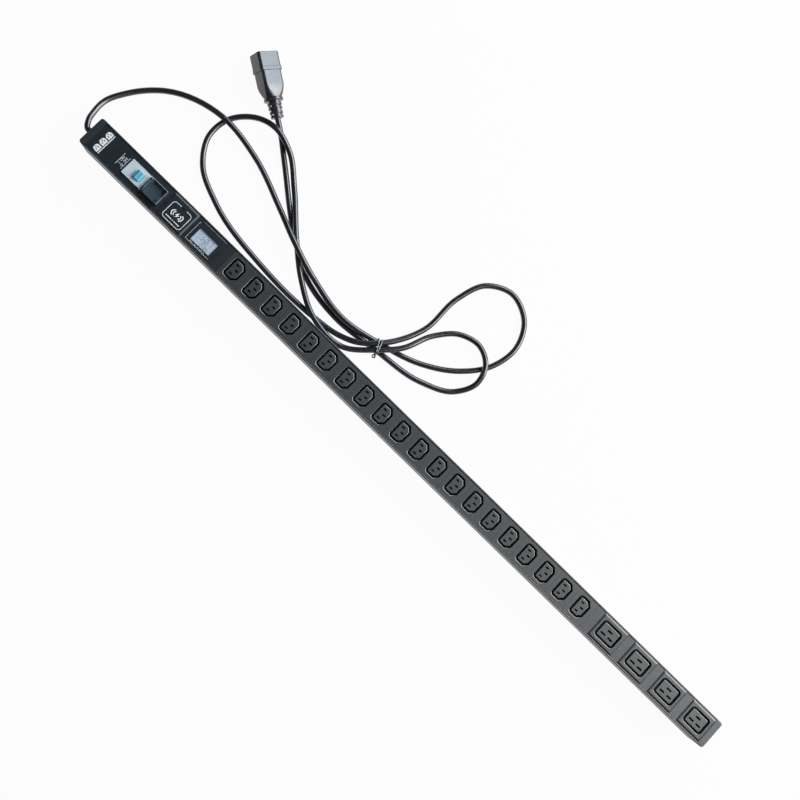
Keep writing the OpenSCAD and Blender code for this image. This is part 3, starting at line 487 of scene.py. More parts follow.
class Paints:
    """Keeps each finish's material, built once."""

    def __init__(self) -> None:
        """Starts with no material."""
        self.made: dict[str, bpy.types.Material] = {}

    def put(self, piece: bpy.types.Object, finish: Finish) -> None:
        """Gives a piece, or a CAD node, the finish as its only material.

        Args:
            piece: what is painted.
            finish: its finish, whose material is built when it is first asked for.
        """
        if finish.name not in self.made:
            self.made[finish.name] = finish.material()
        piece.data.materials.clear()
        piece.data.materials.append(self.made[finish.name])


PAINTS = Paints()


# ------------------------------------------------------------------ shapes


def linked(name: str, data: bpy.types.ID) -> bpy.types.Object:
    """Makes an object of the scene.

    Args:
        name: its name.
        data: its mesh, curve, camera or lamp.

    Returns:
        The object.
    """
    piece = bpy.data.objects.new(name, data)
    bpy.context.scene.collection.objects.link(piece)
    return piece


def mesh_object(name: str, points: np.ndarray, faces: Sequence) -> bpy.types.Object:
    """Makes a mesh object at the origin.

    Args:
        name: the piece's name.
        points: its vertices, in metres.
        faces: vertex indices of each face.

    Returns:
        The object, linked to the scene.
    """
    mesh = bpy.data.meshes.new(name)
    mesh.from_pydata(np.asarray(points, float).tolist(), [], [list(map(int, f)) for f in faces])
    mesh.update()
    return linked(name, mesh)


def smooth(piece: bpy.types.Object, angle: float = 40.0) -> bpy.types.Object:
    """Shades a piece smooth except across sharp edges.

    Args:
        piece: a mesh piece.
        angle: least angle of a sharp edge, in degrees.

    Returns:
        The piece.
    """
    piece.data.shade_smooth()
    piece.data.set_sharp_from_angle(angle=math.radians(angle))
    return piece


def skin(name: str, grid: np.ndarray, closed_u: bool = False) -> bpy.types.Object:
    """Surface over a grid of points: rows are rings that are closed round.

    Point (i, j) joins (i + 1, j), (i + 1, j + 1) and (i, j + 1), with j taken round the ring.
    The first and last rings get a flat face, unless they join each other.

    Args:
        name: the piece's name.
        grid: rings by points by 3, in metres.
        closed_u: whether the last ring joins the first.

    Returns:
        The object, its faces turned outwards.
    """
    rings, around = grid.shape[:2]
    i = np.arange(rings if closed_u else rings - 1)[:, None]
    j = np.arange(around)[None, :]
    a, b = (i % rings) * around, ((i + 1) % rings) * around
    k = (j + 1) % around
    quads = np.stack([a + j, b + j, b + k, a + k], axis=-1).reshape(-1, 4)
    faces: list = quads.tolist()
    if not closed_u:
        faces.append(list(range(around)))
        faces.append(list(range(rings * around - 1, (rings - 1) * around - 1, -1)))
    piece = mesh_object(name, grid.reshape(-1, 3), faces)
    face_outwards(piece)
    return smooth(piece)


def face_outwards(piece: bpy.types.Object) -> None:
    """Turns all faces of a closed shell outwards, by the sign of its volume.

    Six times the volume is the sum over the triangles of a . (b x c).

    Args:
        piece: the shell.
    """
    mesh = piece.data
    mesh.calc_loop_triangles()
    count = len(mesh.loop_triangles)
    corners = np.empty(count * 3, np.int32)
    mesh.loop_triangles.foreach_get("vertices", corners)
    points = np.empty(len(mesh.vertices) * 3)
    mesh.vertices.foreach_get("co", points)
    tri = points.reshape(-1, 3)[corners.reshape(-1, 3)]
    volume = np.einsum("ij,ij->i", tri[:, 0], np.cross(tri[:, 1], tri[:, 2])).sum()
    if volume < 0:
        mesh.flip_normals()


def rounded_ring(
    half_a: Sequence[float], half_b: Sequence[float], radius: Sequence[float], steps: int = 9
) -> np.ndarray:
    """Rounded rectangles as rings: four corner arcs, centre (half - radius), swept in turn.

    Args:
        half_a: half sizes along the first axis, one per ring.
        half_b: half sizes along the second axis.
        radius: corner radii.
        steps: points on each corner's arc.

    Returns:
        Rings by points by 2.
    """
    a, b, r = (np.asarray(v, float).reshape(-1, 1) for v in (half_a, half_b, radius))
    turn = np.concatenate([np.linspace(q * 90, q * 90 + 90, steps) for q in range(4)])
    side_a = np.repeat([1, -1, -1, 1], steps)
    side_b = np.repeat([1, 1, -1, -1], steps)
    angle = np.radians(turn)
    return np.stack(
        [side_a * (a - r) + r * np.cos(angle), side_b * (b - r) + r * np.sin(angle)], axis=-1
    )


def tube(
    name: str, path: np.ndarray, radius: float, side: Triple, around: int = 12
) -> bpy.types.Object:
    """Round wire along an open path: ring = path + radius (cos v a + sin v u).

    a is across both the path and the side direction, and u across a and the path.

    Args:
        name: the piece's name.
        path: points of the middle line, in metres.
        radius: wire radius.
        side: direction never along the path, from which the rings are set up.
        around: points on each ring.

    Returns:
        The wire.
    """
    along = np.gradient(path, axis=0)
    along /= np.linalg.norm(along, axis=1, keepdims=True)
    across = np.cross(along, np.asarray(side, float))
    across /= np.linalg.norm(across, axis=1, keepdims=True)
    up = np.cross(across, along)
    v = np.linspace(0, 2 * np.pi, around, endpoint=False)[None, :, None]
    grid = path[:, None] + radius * (np.cos(v) * across[:, None] + np.sin(v) * up[:, None])
    return skin(name, grid)


def prism(name: str, outline: np.ndarray) -> bpy.types.Object:
    """Flat sheet of ink of a given outline in XY, from z = 0 up to INK.

    Args:
        name: the piece's name.
        outline: points by 2, in metres.

    Returns:
        The sheet.
    """
    count = len(outline)
    low = np.column_stack([outline, np.zeros(count)])
    high = np.column_stack([outline, np.full(count, INK)])
    ring = np.arange(count)
    after = (ring + 1) % count
    sides = np.stack([ring, after, after + count, ring + count], axis=-1).tolist()
    faces = sides + [ring[::-1].tolist(), (ring + count).tolist()]
    piece = mesh_object(name, np.vstack([low, high]), faces)
    face_outwards(piece)
    return piece


def joined(name: str, pieces: Sequence[bpy.types.Object]) -> bpy.types.Object:
    """Puts several mesh pieces into one mesh of the given name.

    Args:
        name: the new piece's name.
        pieces: the pieces, which are removed.

    Returns:
        The one piece.
    """
    points, faces, start = [], [], 0
    for piece in pieces:
        co = np.empty(len(piece.data.vertices) * 3)
        piece.data.vertices.foreach_get("co", co)
        points.append(co.reshape(-1, 3))
        faces += [[start + v for v in face.vertices] for face in piece.data.polygons]
        start += len(piece.data.vertices)
        bpy.data.objects.remove(piece)
    return smooth(mesh_object(name, np.vstack(points), faces))


def moved(piece: bpy.types.Object, matrix: Matrix) -> bpy.types.Object:
    """Puts a piece in its place by moving its vertices.

    Args:
        piece: a mesh piece.
        matrix: the move.

    Returns:
        The piece.
    """
    piece.data.transform(matrix)
    piece.data.update()
    return piece


def lettering(name: str, words: str, size: float) -> bpy.types.Object:
    """Generic words as a thin solid in XY, centred on the origin.

    Args:
        name: the piece's name.
        words: what it says.
        size: height of the letters in metres.

    Returns:
        A mesh object.
    """
    text = bpy.data.curves.new(name, "FONT")
    text.body = words
    text.size = size * 1.4
    text.align_x = "CENTER"
    text.align_y = "CENTER"
    text.extrude = INK / 2
    text.resolution_u = 3
    source = linked(name, text)
    mesh = bpy.data.meshes.new_from_object(source)
    bpy.data.objects.remove(source)
    return moved(linked(name, mesh), Matrix.Translation((0, 0, INK / 2)))


def finish_piece(piece: bpy.types.Object, body: str, finish: Finish) -> bpy.types.Object:
    """Rides a piece on a body, paints it and reports it.

    Args:
        piece: the piece.
        body: the body that it rides on.
        finish: its finish.

    Returns:
        The piece.
    """
    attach(piece, body)
    PAINTS.put(piece, finish)
    log.info("piece %s on %s, %s", piece.name, body, finish.name)
    return piece


# ------------------------------------------------------------------ camera and image points


class Anchor(Enum):
    """Which part of what shows is compared with its image point."""

    CENTRE = "centre"
    LEFT = "left"
    RIGHT = "right"
    TOP = "top"
    BOTTOM = "bottom"

    def of(self, seen: np.ndarray) -> np.ndarray:
        """Picks the pixel meant.

        Args:
            seen: pixels of the vertices that show, points by 2.

        Returns:
            The pixel.
        """
        match self:
            case Anchor.LEFT:
                return seen[seen[:, 0].argmin()]
            case Anchor.RIGHT:
                return seen[seen[:, 0].argmax()]
            case Anchor.TOP:
                return seen[seen[:, 1].argmin()]
            case Anchor.BOTTOM:
                return seen[seen[:, 1].argmax()]
        return (seen.min(axis=0) + seen.max(axis=0)) / 2


@dataclass(frozen=True)
class ImagePoint:
    """Pixel of the photo's frame, the piece that shows there and the part of it meant."""

    x: float
    y: float
    piece: str
    anchor: Anchor = Anchor.CENTRE


POINTS: dict[str, ImagePoint] = {
    "left_tip": ImagePoint(78.3, 140.6, "end_cap_cord", Anchor.LEFT),
    "top_corner": ImagePoint(102.7, 117.5, "end_cap_cord", Anchor.TOP),
    "right_tip": ImagePoint(722.9, 724.0, "end_cap_far", Anchor.RIGHT),
    "bottom_corner": ImagePoint(701.8, 748.2, "end_cap_far", Anchor.BOTTOM),
    "emblem": ImagePoint(103.7, 142.0, "emblem"),
    "switch_words": ImagePoint(123.2, 161.0, "switch_words"),
    "lever": ImagePoint(138.7, 175.9, "breaker_lever"),
    "cover": ImagePoint(154.8, 191.9, "breaker_cover"),
    "lamp": ImagePoint(185.2, 207.7, "surge_lamp"),
    "surge_frame": ImagePoint(176.8, 215.7, "surge_frame"),
    "display": ImagePoint(204.1, 240.8, "meter_window"),
    "c13_first": ImagePoint(235.2, 270.4, "c13_outlet_01"),
    "c13_middle": ImagePoint(401.1, 432.3, "c13_outlet_10"),
    "c13_last": ImagePoint(580.5, 607.4, "c13_outlet_20"),
    "c19_first": ImagePoint(608.3, 634.4, "c19_outlet_1"),
    "c19_last": ImagePoint(696.3, 720.4, "c19_outlet_4"),
    "tie": ImagePoint(381.0, 338.5, "tie_wire", Anchor.TOP),
    "plug_mouth": ImagePoint(250.5, 53.5, "mains_plug", Anchor.LEFT),
}


@dataclass(frozen=True)
class PhotoCamera:
    """The camera that took the photo, found from both rows of outlets."""

    position: Triple = (-0.12129, -0.11817, 1.38477)
    target: Triple = (-0.04624, 0.03022, 0.045)
    image_up: Triple = (-0.69831, 0.71468, 0.04003)
    lens: float = 45.0
    sensor: float = 36.0
    shift_x: float = 0.0
    shift_y: float = 0.0
    width: int = 800
    height: int = 800

    def axes(self) -> np.ndarray:
        """The camera's axes: back = position - target, right = image_up x back.

        Returns:
            Rows right, up and back, as directions in the part's frame.
        """
        back = np.subtract(self.position, self.target)
        back /= np.linalg.norm(back)
        right = np.cross(self.image_up, back)
        right /= np.linalg.norm(right)
        return np.array([right, np.cross(back, right), back])

    def build(self) -> bpy.types.Object:
        """Makes the camera and sets it as the scene's own.

        Returns:
            The camera.
        """
        data = bpy.data.cameras.new("photo_camera")
        data.lens = self.lens
        data.sensor_width = self.sensor
        data.sensor_fit = "AUTO"
        data.shift_x = self.shift_x
        data.shift_y = self.shift_y
        data.clip_start = 0.05
        camera = linked("photo_camera", data)
        turn = Matrix(self.axes().T.tolist()).to_4x4()
        camera.matrix_world = Matrix.Translation(self.position) @ turn
        bpy.context.scene.camera = camera
        return camera

    def ray(self, x: float, y: float) -> Vector:
        """Ray through an image point.

        Args:
            x: pixels from the picture's left.
            y: pixels from its top.

        Returns:
            The ray's direction in the part's frame.
        """
        side = max(self.width, self.height)
        local = (
            x - self.width / 2 + self.shift_x * side,
            self.height / 2 - y + self.shift_y * side,
            -side * self.lens / self.sensor,
        )
        return Vector((self.axes().T @ np.array(local)).tolist()).normalized()

    def pixels(self, points: np.ndarray) -> np.ndarray:
        """Where points show: offset over depth times the focal length in pixels.

        Args:
            points: places in the part's frame, points by 3.

        Returns:
            Their image points, points by 2.
        """
        side = max(self.width, self.height)
        q = (points - np.array(self.position)) @ self.axes().T
        focal = side * self.lens / self.sensor
        return np.column_stack(
            [
                self.width / 2 - self.shift_x * side - focal * q[:, 0] / q[:, 2],
                self.height / 2 + self.shift_y * side + focal * q[:, 1] / q[:, 2],
            ]
        )

    def place(self, point: ImagePoint, carriers: Sequence[bpy.types.Object]) -> Vector:
        """Where the ray through an image point meets the carriers, or the place nearest it.

        Args:
            point: the image point.
            carriers: finished pieces that may carry something there.

        Returns:
            The place, in metres.
        """
        tree = surface_tree(carriers)
        start = Vector(self.position)
        direction = self.ray(point.x, point.y)
        hit = tree.ray_cast(start, direction)[0]
        if hit is None:
            depth = (Vector(self.target) - start).length
            hit = tree.find_nearest(start + direction * depth)[0]
        return hit


def surface_points(piece: bpy.types.Object) -> tuple[np.ndarray, np.ndarray]:
    """A piece's surface as finished, modifiers and curves included.

    Args:
        piece: a mesh or curve.

    Returns:
        Its vertices, points by 3, and its triangles' vertex numbers.
    """
    graph = bpy.context.evaluated_depsgraph_get()
    source = piece.evaluated_get(graph)
    mesh = source.to_mesh()
    mesh.calc_loop_triangles()
    points = np.empty(len(mesh.vertices) * 3)
    mesh.vertices.foreach_get("co", points)
    corners = np.empty(len(mesh.loop_triangles) * 3, np.int32)
    mesh.loop_triangles.foreach_get("vertices", corners)
    source.to_mesh_clear()
    return points.reshape(-1, 3), corners.reshape(-1, 3)


def surface_tree(pieces: Sequence[bpy.types.Object]) -> BVHTree:
    """One tree over the finished surfaces of several pieces.

    Args:
        pieces: meshes and curves.

    Returns:
        The tree, for rays and nearest places.
    """
    points, triangles, start = [], [], 0
    for piece in pieces:
        co, tri = surface_points(piece)
        points.append(co)
        triangles.append(tri + start)
        start += len(co)
    return BVHTree.FromPolygons(np.vstack(points).tolist(), np.vstack(triangles).tolist())


# ------------------------------------------------------------------ cord, tie and plug


@dataclass(frozen=True)
class Cord:
    """Mains cord: leaves the end cap, runs through the tie twice and ends in the plug."""

    diameter: float = 0.0082
    length: float = 2.764
    lowest: float = 4.3
    steps: int = 8
    exit: Triple = (-0.59, 0.0, 0.022)
    route: tuple[Triple, ...] = (
        (0, 0, 22), (-9, 0, 22), (-17.3, 10.1, 20.5), (-21, 21, 17), (-24, 42.9, 11),
        (-12.6, 73.2, 6.5), (20.2, 113.5, 4.3), (101.5, 141.7, 13.5), (170.1, 134.4, 6),
        (244.7, 106.2, 13), (293.8, 85.5, 22.5), (347.5, 69.6, 11.5), (410.3, 59.1, 12.6),
        (470, 70.7, 6.2), (531.4, 90.9, 4.3), (577.8, 122.2, 4.3), (607.2, 162.3, 4.3),
        (613, 204.2, 4.3), (594.9, 239, 4.3), (556, 254.3, 4.3), (521.1, 235.9, 4.3),
        (504.8, 192.2, 4.3), (502.1, 130, 6), (489, 97, 11), (470.5, 70, 15.2), (446.8, 48.8, 15),
        (420, 38.3, 9), (382.8, 33.2, 4.3), (280.1, 33.2, 4.3), (176, 51, 4.3), (126.3, 76.4, 4.3),
        (103.8, 112.4, 4.3), (107, 147.2, 4.3), (130.8, 174, 8), (166.1, 181.4, 18.8),
        (197, 173.4, 10.5), (236.6, 142.4, 6), (291, 91, 13.6), (333, 57.2, 10.5),
        (381.4, 31.6, 13.8), (435.6, 29.9, 12.5), (473.9, 60.1, 15.2), (497.9, 87.6, 13),
        (517.2, 131.9, 5), (543.3, 160.2, 4.3), (573.9, 167.3, 8), (598.3, 152.3, 13.5),
        (607.2, 126.1, 9), (592.6, 96.4, 4.3), (548.7, 72.7, 4.3), (473.2, 60.6, 6.2),
        (400.6, 53.7, 4.3), (336.8, 64.4, 4.3), (285.3, 93.5, 4.3), (198.7, 161.1, 4.3),
        (167.3, 185.5, 8.5), (153.1, 194.8, 10.676),
    )

    def line(self) -> np.ndarray:
        """Middle line: a cubic through each point, its slope weighed by the spans beside it.

        Returns:
            Points in metres, in the part's frame.
        """
        way = np.array(self.route, float)
        way = np.vstack([2 * way[0] - way[1], way, 2 * way[-1] - way[-2]])
        span = np.diff(way, axis=0)
        far = np.linalg.norm(span, axis=1, keepdims=True)
        before, after = far[:-1], far[1:]
        slope = (span[:-1] * (after / before) + span[1:] * (before / after)) / (before + after)
        t = np.linspace(0, 1, self.steps, endpoint=False)[None, :, None]
        start, end = way[1:-2, None], way[2:-1, None]
        reach = far[1:-1, None]
        curve = (
            (2 * t**3 - 3 * t**2 + 1) * start
            + (t**3 - 2 * t**2 + t) * reach * slope[:-1, None]
            + (3 * t**2 - 2 * t**3) * end
            + (t**3 - t**2) * reach * slope[1:, None]
        )
        points = np.vstack([curve.reshape(-1, 3), way[-2]])
        points[:, 2] = np.maximum(points[:, 2], self.lowest)
        return points * MM + np.array([self.exit[0], 0.0, 0.0])

    def build(self, carried: Sequence[bpy.types.Object | str]) -> bpy.types.Object:
        """Makes the cord as a bevelled curve.

        Args:
            carried: the plug, its blades and the tie; not used.

        Returns:
            The cord.
        """
        points = self.line()
        data = bpy.data.curves.new("mains_cord", "CURVE")
        data.dimensions = "3D"
        data.bevel_depth = 1.0
        data.bevel_resolution = 4
        data.use_fill_caps = True
        data.twist_mode = "MINIMUM"
        spline = data.splines.new("POLY")
        spline.points.add(len(points) - 1)
        spline.points.foreach_set("co", np.column_stack([points, np.ones(len(points))]).ravel())
        # A curve's box grows by the radius of its points, so they hold the cord's own.
        spline.points.foreach_set("radius", np.full(len(points), self.diameter / 2))
        spline.use_smooth = True
        piece = linked("mains_cord", data)
        finish_piece(piece, "strip", CORD)
        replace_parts(piece, "cord")
        return piece


@dataclass(frozen=True)
class CordTie:
    """Coated wire tie: two turns round the strands, one end curled and one short and twisted."""

    place: Triple = (-0.1174, 0.0652, 0.0108)
    heading: float = 25.0
    radius: float = 0.0008
    half: float = 0.0111
    rise: float = 0.0098
    bend: float = 0.005
    turns: float = 2.0
    pitch: float = 0.0052
    curl: Triple = (-0.0012, -0.0136, -0.005)
    curl_radius: float = 0.0022
    curl_rise: float = 0.9
    tail: float = 0.0045
    tail_turns: float = 1.8
    tail_lift: float = 0.001

    def loop(self, count: int = 220) -> np.ndarray:
        """Turns of the wire: a rounded rectangle followed round while it moves along X.

        Args:
            count: points along the wire.

        Returns:
            Points in the tie's own frame.
        """
        ring = rounded_ring([self.half], [self.rise], [self.bend], 13)[0]
        ring = np.vstack([ring, ring[:1]])
        far = np.concatenate([[0], np.cumsum(np.linalg.norm(np.diff(ring, axis=0), axis=1))])
        share = np.linspace(0.5, 0.5 + self.turns, count)
        on_ring = (share % 1.0) * far[-1]
        y = np.interp(on_ring, far, ring[:, 0])
        z = np.interp(on_ring, far, ring[:, 1])
        spread = 0.2 + 0.8 * (y + self.half) / (2 * self.half)
        x = (share - 1.5) * self.pitch * spread
        return np.column_stack([x, y, z])

    def hook(self, count: int = 90) -> np.ndarray:
        """The curled end: straight to the curl, then a circle that rises a little.

        Args:
            count: points on the circle.

        Returns:
            Points in the tie's own frame.
        """
        angle = np.radians(np.linspace(60, -400, count))
        middle = np.array(self.curl)
        rise = np.linspace(0, self.curl_rise, count)
        ring = np.column_stack([np.cos(angle), np.sin(angle), rise])
        ring = middle + ring * self.curl_radius
        start = np.array([-0.0006, -self.half, 0.0])
        way = start + (ring[0] - start) * np.linspace(0, 1, 12, endpoint=False)[:, None]
        return np.concatenate([way, ring])

    def twist(self, phase: float, count: int = 90) -> np.ndarray:
        """One strand of the short twisted end: a helix about a line that droops.

        Args:
            phase: where on the helix the strand starts, in radians.
            count: points along the strand.

        Returns:
            Points in the tie's own frame.
        """
        t = np.linspace(0, 1, count)
        angle = 2 * np.pi * self.tail_turns * t + phase
        out = np.radians(12 + 26 * t)
        y = -self.half - self.tail * t * np.cos(out * 0.6)
        z = self.tail_lift - self.tail * t * np.sin(out * 0.6)
        wrap = self.radius * 1.02
        return np.column_stack([wrap * np.cos(angle), y, z + wrap * np.sin(angle)])

    def build(self) -> bpy.types.Object:
        """Makes the tie as one piece, which replaces the plain one.

        Returns:
            The tie.
        """
        parts = [
            tube("turns", self.loop(), self.radius, (1, 0, 0)),
            tube("end_a", self.twist(0.0), self.radius, (1, 0, 0)),
            tube("hook", self.hook(), self.radius, (0, 0, 1)),
            tube("end_b", self.twist(np.pi), self.radius, (1, 0, 0)),
        ]
        piece = joined("tie_wire", parts)
        turn = Matrix.Rotation(math.radians(self.heading), 4, "Z")
        moved(piece, Matrix.Translation(self.place) @ turn)
        finish_piece(piece, "strip", WIRE)
        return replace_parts(piece, "cord_tie")


@dataclass(frozen=True)
class Plug:
    """Free plug: ribbed sleeve, collar, swelling grip, band and an open shroud."""

    mouth: Triple = (-0.4369, 0.1948, 0.010676)
    heading: float = 146.778
    pitch: float = 7.282
    roll: float = 29.0
    width: float = 0.034
    height: float = 0.027
    wall: float = 0.0025
    deep: float = 0.021
    ends: tuple[float, float, float, float] = (0.027, 0.047, 0.068, 0.088)
    corner: float = 0.004
    around: int = 13
    ribs: int = 4
    rib_step: float = 0.00575
    rib_radius: float = 0.009
    rib_growth: float = 0.00035
    rib_edge: float = 0.0003
    groove: float = 0.0025
    groove_side: float = 0.00008
    groove_depth: tuple[float, float] = (0.0024, 0.0022)
    bridge_share: float = 0.95
    bridge_rise: float = 0.0018
    collar: tuple[tuple[float, float], ...] = (
        (0.023, 0.0129), (0.0236, 0.0135), (0.0264, 0.0135), (0.027, 0.0129),
    )
    root: float = 0.0114
    root_corner: float = 0.011
    swell: float = 1.9
    band: float = 0.005
    soft: float = 0.0003

    def frame(self) -> Matrix:
        """The plug's own frame: +X from the cord to the blades, Y along its wide side.

        Returns:
            Its place and turn in the part's frame.
        """
        turn = Matrix.Rotation(math.radians(self.heading), 4, "Z")
        lift = Matrix.Rotation(math.radians(-self.pitch), 4, "Y")
        roll = Matrix.Rotation(math.radians(self.roll), 4, "X")
        return Matrix.Translation(self.mouth) @ turn @ lift @ roll

    def round_part(self) -> np.ndarray:
        """Sleeve and collar: radius by distance, its grooves bridged by turns.

        In groove i the radius is near the rib's where |cos(angle - 90 i degrees)| is over the
        bridge's share. Each row is distance, radius and groove, -1 where there is none.

        Returns:
            Rings of the sleeve and collar.
        """
        near, far = self.groove_depth
        rows: list[tuple[float, float, float]] = []
        for i in range(self.ribs):
            start = i * self.rib_step
            after = start + self.rib_step
            end = after - self.groove
            r = self.rib_radius + i * self.rib_growth
            rows += [(start, r - self.rib_edge, -1), (start + self.rib_edge, r, -1)]
            rows += [(end - self.rib_edge, r, -1), (end, r - self.rib_edge, -1)]
            rows += [(end + self.groove_side, r - near, i), (after - self.groove_side, r - far, i)]
        rows += [(x, r, -1) for x, r in self.collar]
        x, r, groove_of = (np.array(column)[:, None] for column in zip(*rows))
        unit = rounded_ring([1.0], [1.0], [0.97], self.around)[0]
        angle = np.arctan2(unit[:, 1], unit[:, 0])[None, :]
        bridge = np.abs(np.cos(angle - groove_of * np.pi / 2)) > self.bridge_share
        radius = np.where(bridge & (groove_of >= 0), r + self.bridge_rise, r)
        flat = radius[..., None] * np.stack([np.cos(angle), np.sin(angle)], axis=-1)
        return np.concatenate([np.broadcast_to(x[..., None], radius.shape + (1,)), flat], axis=-1)

    def square_part(self) -> np.ndarray:
        """Grip, band, shroud and cavity: rounded rectangles along X.

        Over the grip each half size is low + (high - low) s(t), with s(t) = 1 - (1 - t)^swell.

        Returns:
            Rings from the grip's start out to the mouth and back to the cavity's floor.
        """
        t = np.linspace(0, 1, 13)
        ease = 1 - (1 - t) ** self.swell
        start, grip_end, band_end, tip = self.ends
        a, b, soft = self.width / 2, self.height / 2, self.soft
        grip_a, grip_b = a - 0.0015, b - 0.0008
        x = start + (grip_end - start) * t
        half_a, half_b = (self.root + (half - self.root) * ease for half in (grip_a, grip_b))
        radius = self.root_corner + (self.corner - self.root_corner) * ease
        band_start = band_end - self.band
        skin_a, skin_b = a - 0.0004, b - 0.0004
        cave_a, cave_b = a - self.wall, b - self.wall
        tail = [
            (band_start - 0.0001, grip_a, grip_b, self.corner),
            (band_start, a - soft, b - soft, self.corner),
            (band_start + soft, a, b, self.corner),
            (band_end - soft, a, b, self.corner),
            (band_end, a - soft, b - soft, self.corner),
            (band_end + 0.0001, skin_a, skin_b, self.corner),
            (tip - 2 * soft, skin_a, skin_b, self.corner),
            (tip, skin_a - 2 * soft, skin_b - 2 * soft, self.corner - 2 * soft),
            (tip, cave_a + soft, cave_b + soft, self.corner - 0.0007),
            (tip - soft, cave_a, cave_b, self.corner - 0.001),
            (tip - self.deep, cave_a, cave_b, self.corner - 0.001),
        ]
        more = np.array(tail).T
        rings = rounded_ring(
            np.concatenate([half_a, more[1]]),
            np.concatenate([half_b, more[2]]),
            np.concatenate([radius, more[3]]),
            self.around,
        )
        along = np.concatenate([x, more[0]])
        return np.concatenate(
            [np.broadcast_to(along[:, None, None], rings.shape[:2] + (1,)), rings], axis=-1
        )

    def build(self) -> bpy.types.Object:
        """Makes the plug's shell as one closed piece, which replaces the plain one.

        Returns:
            The shell.
        """
        piece = skin("mains_plug", np.concatenate([self.round_part(), self.square_part()]))
        moved(piece, self.frame())
        finish_piece(piece, "strip", PLUG)
        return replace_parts(piece, "plug_body")


# ------------------------------------------------------------------ prints and small pieces


def strip(name: str, path: np.ndarray, width: float) -> bpy.types.Object:
    """Flat line of ink along an open path in XY.

    Its four edges run at width / 2 on each side of the path, at z = 0 and z = INK.

    Args:
        name: the piece's name.
        path: points by 2, in metres.
        width: the line's width.

    Returns:
        The line.
    """
    along = np.gradient(path, axis=0)
    along /= np.linalg.norm(along, axis=1, keepdims=True)
    across = np.column_stack([-along[:, 1], along[:, 0]]) * width / 2
    rim = np.stack([path + across, path + across, path - across, path - across], axis=1)
    level = np.broadcast_to(np.array([0, INK, INK, 0])[None, :, None], rim.shape[:2] + (1,))
    return skin(name, np.concatenate([rim, level], axis=-1))


def level_line(name: str, start: float, end: float, y: float, width: float) -> bpy.types.Object:
    """Straight line of ink along X, from start to end at a height y of the print."""
    return strip(name, np.array([[start, y], [end, y]]), width)


def fine_path(corners: np.ndarray, steps: int) -> np.ndarray:
    """Points evenly spaced along each straight run of a path.

    Args:
        corners: the path's corners, points by 2.
        steps: points on each run.

    Returns:
        The points, from the first corner to the last.
    """
    share = np.linspace(0, 1, steps, endpoint=False)[None, :, None]
    runs = corners[:-1, None] * (1 - share) + corners[1:, None] * share
    return np.vstack([runs.reshape(-1, 2), corners[-1:]])


class Reading(Enum):
    """Which way a print's baseline runs, in degrees from +X."""

    ALONG_X = 0.0
    ALONG_Y = 90.0


def lay_print(
    piece: bpy.types.Object, where: Vector, reading: Reading, finish: Finish, body: str = "strip"
) -> None:
    """Lays a flat print, made round the origin, on a surface that faces up, and paints it.

    Args:
        piece: the print.
        where: where its origin goes on the surface.
        reading: which way its baseline runs.
        finish: its ink.
        body: the body that it rides on.
    """
    turn = Matrix.Rotation(math.radians(reading.value), 4, "Z")
    moved(piece, Matrix.Translation(where + Vector((0, 0, LIFT))) @ turn)
    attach(piece, body)
    PAINTS.put(piece, finish)
    log.info("print %s at %s", piece.name, [round(v, 4) for v in where])


def print_on(
    piece: bpy.types.Object, camera: PhotoCamera, point: str, carrier: str, reading: Reading,
    finish: Finish = PRINT,
) -> None:
    """Lays a print where its image point meets the CAD node that carries it.

    Args:
        piece: the print.
        camera: the photo's camera.
        point: name of the image point.
        carrier: name of the CAD node.
        reading: which way its baseline runs.
        finish: its ink.
    """
    where = camera.place(POINTS[point], [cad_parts[carrier]])
    lay_print(piece, where, reading, finish)


@dataclass(frozen=True)
class LabelPrint:
    """White print of the cord end: three outlet signs over a bar, then the switch's words."""

    pitch: float = 0.0112
    outline: tuple[tuple[float, float], ...] = (
        (-4.7, -4.5), (4.7, -4.5), (4.7, 1.2), (2.6, 3.9), (-2.6, 3.9), (-4.7, 1.2),
    )
    outline_y: float = 0.0012
    contacts: tuple[tuple[float, float], ...] = (
        (-0.002, 0.0002), (0.002, 0.0002), (0.0, 0.003),
    )
    contact_half: float = 0.0012
    contact_width: float = 0.0011
    bar_half: float = 0.016
    bar_y: float = -0.0052
    bar_width: float = 0.0013
    letter: float = 0.0032
    words: tuple[tuple[str, float], ...] = (("I  ON", 0.0026), ("O  OFF", -0.0018))
    rules: tuple[float, ...] = (0.0052, -0.0046)
    rule_half: float = 0.0095
    rule_width: float = 0.0005

    def contacts_at(self, x: float) -> list[bpy.types.Object]:
        """Three contacts of one outlet sign.

        Args:
            x: the sign's middle.

        Returns:
            The contacts, as strips.
        """
        ends = np.array([[x, -self.contact_half], [x, self.contact_half]])
        return [strip("contact", ends + place, self.contact_width) for place in self.contacts]

    def build(self, camera: PhotoCamera) -> None:
        """Lays the signs and words where the photo has its prints.

        Args:
            camera: the photo's camera.
        """
        spots = [step * self.pitch for step in (-1, 0, 1)]
        parts = [level_line("bar", -self.bar_half, self.bar_half, self.bar_y, self.bar_width)]
        for x in spots:
            sign = prism("outlet", np.array(self.outline) * MM)
            parts.append(moved(sign, Matrix.Translation((x, self.outline_y, 0))))
        print_on(joined("emblem", parts), camera, "emblem", "label_plate", Reading.ALONG_Y)
        dark = joined("emblem_contacts", [part for x in spots for part in self.contacts_at(x)])
        moved(dark, Matrix.Translation((0, 0, 2 * INK)))
        print_on(dark, camera, "emblem", "label_plate", Reading.ALONG_Y, MASK)
        lines = [
            moved(lettering("line", words, self.letter), Matrix.Translation((0, y, 0)))
            for words, y in self.words
        ]
        for y in self.rules:
            lines.append(level_line("rule", -self.rule_half, self.rule_half, y, self.rule_width))
        words = joined("switch_words", lines)
        print_on(words, camera, "switch_words", "breaker_plate", Reading.ALONG_Y)


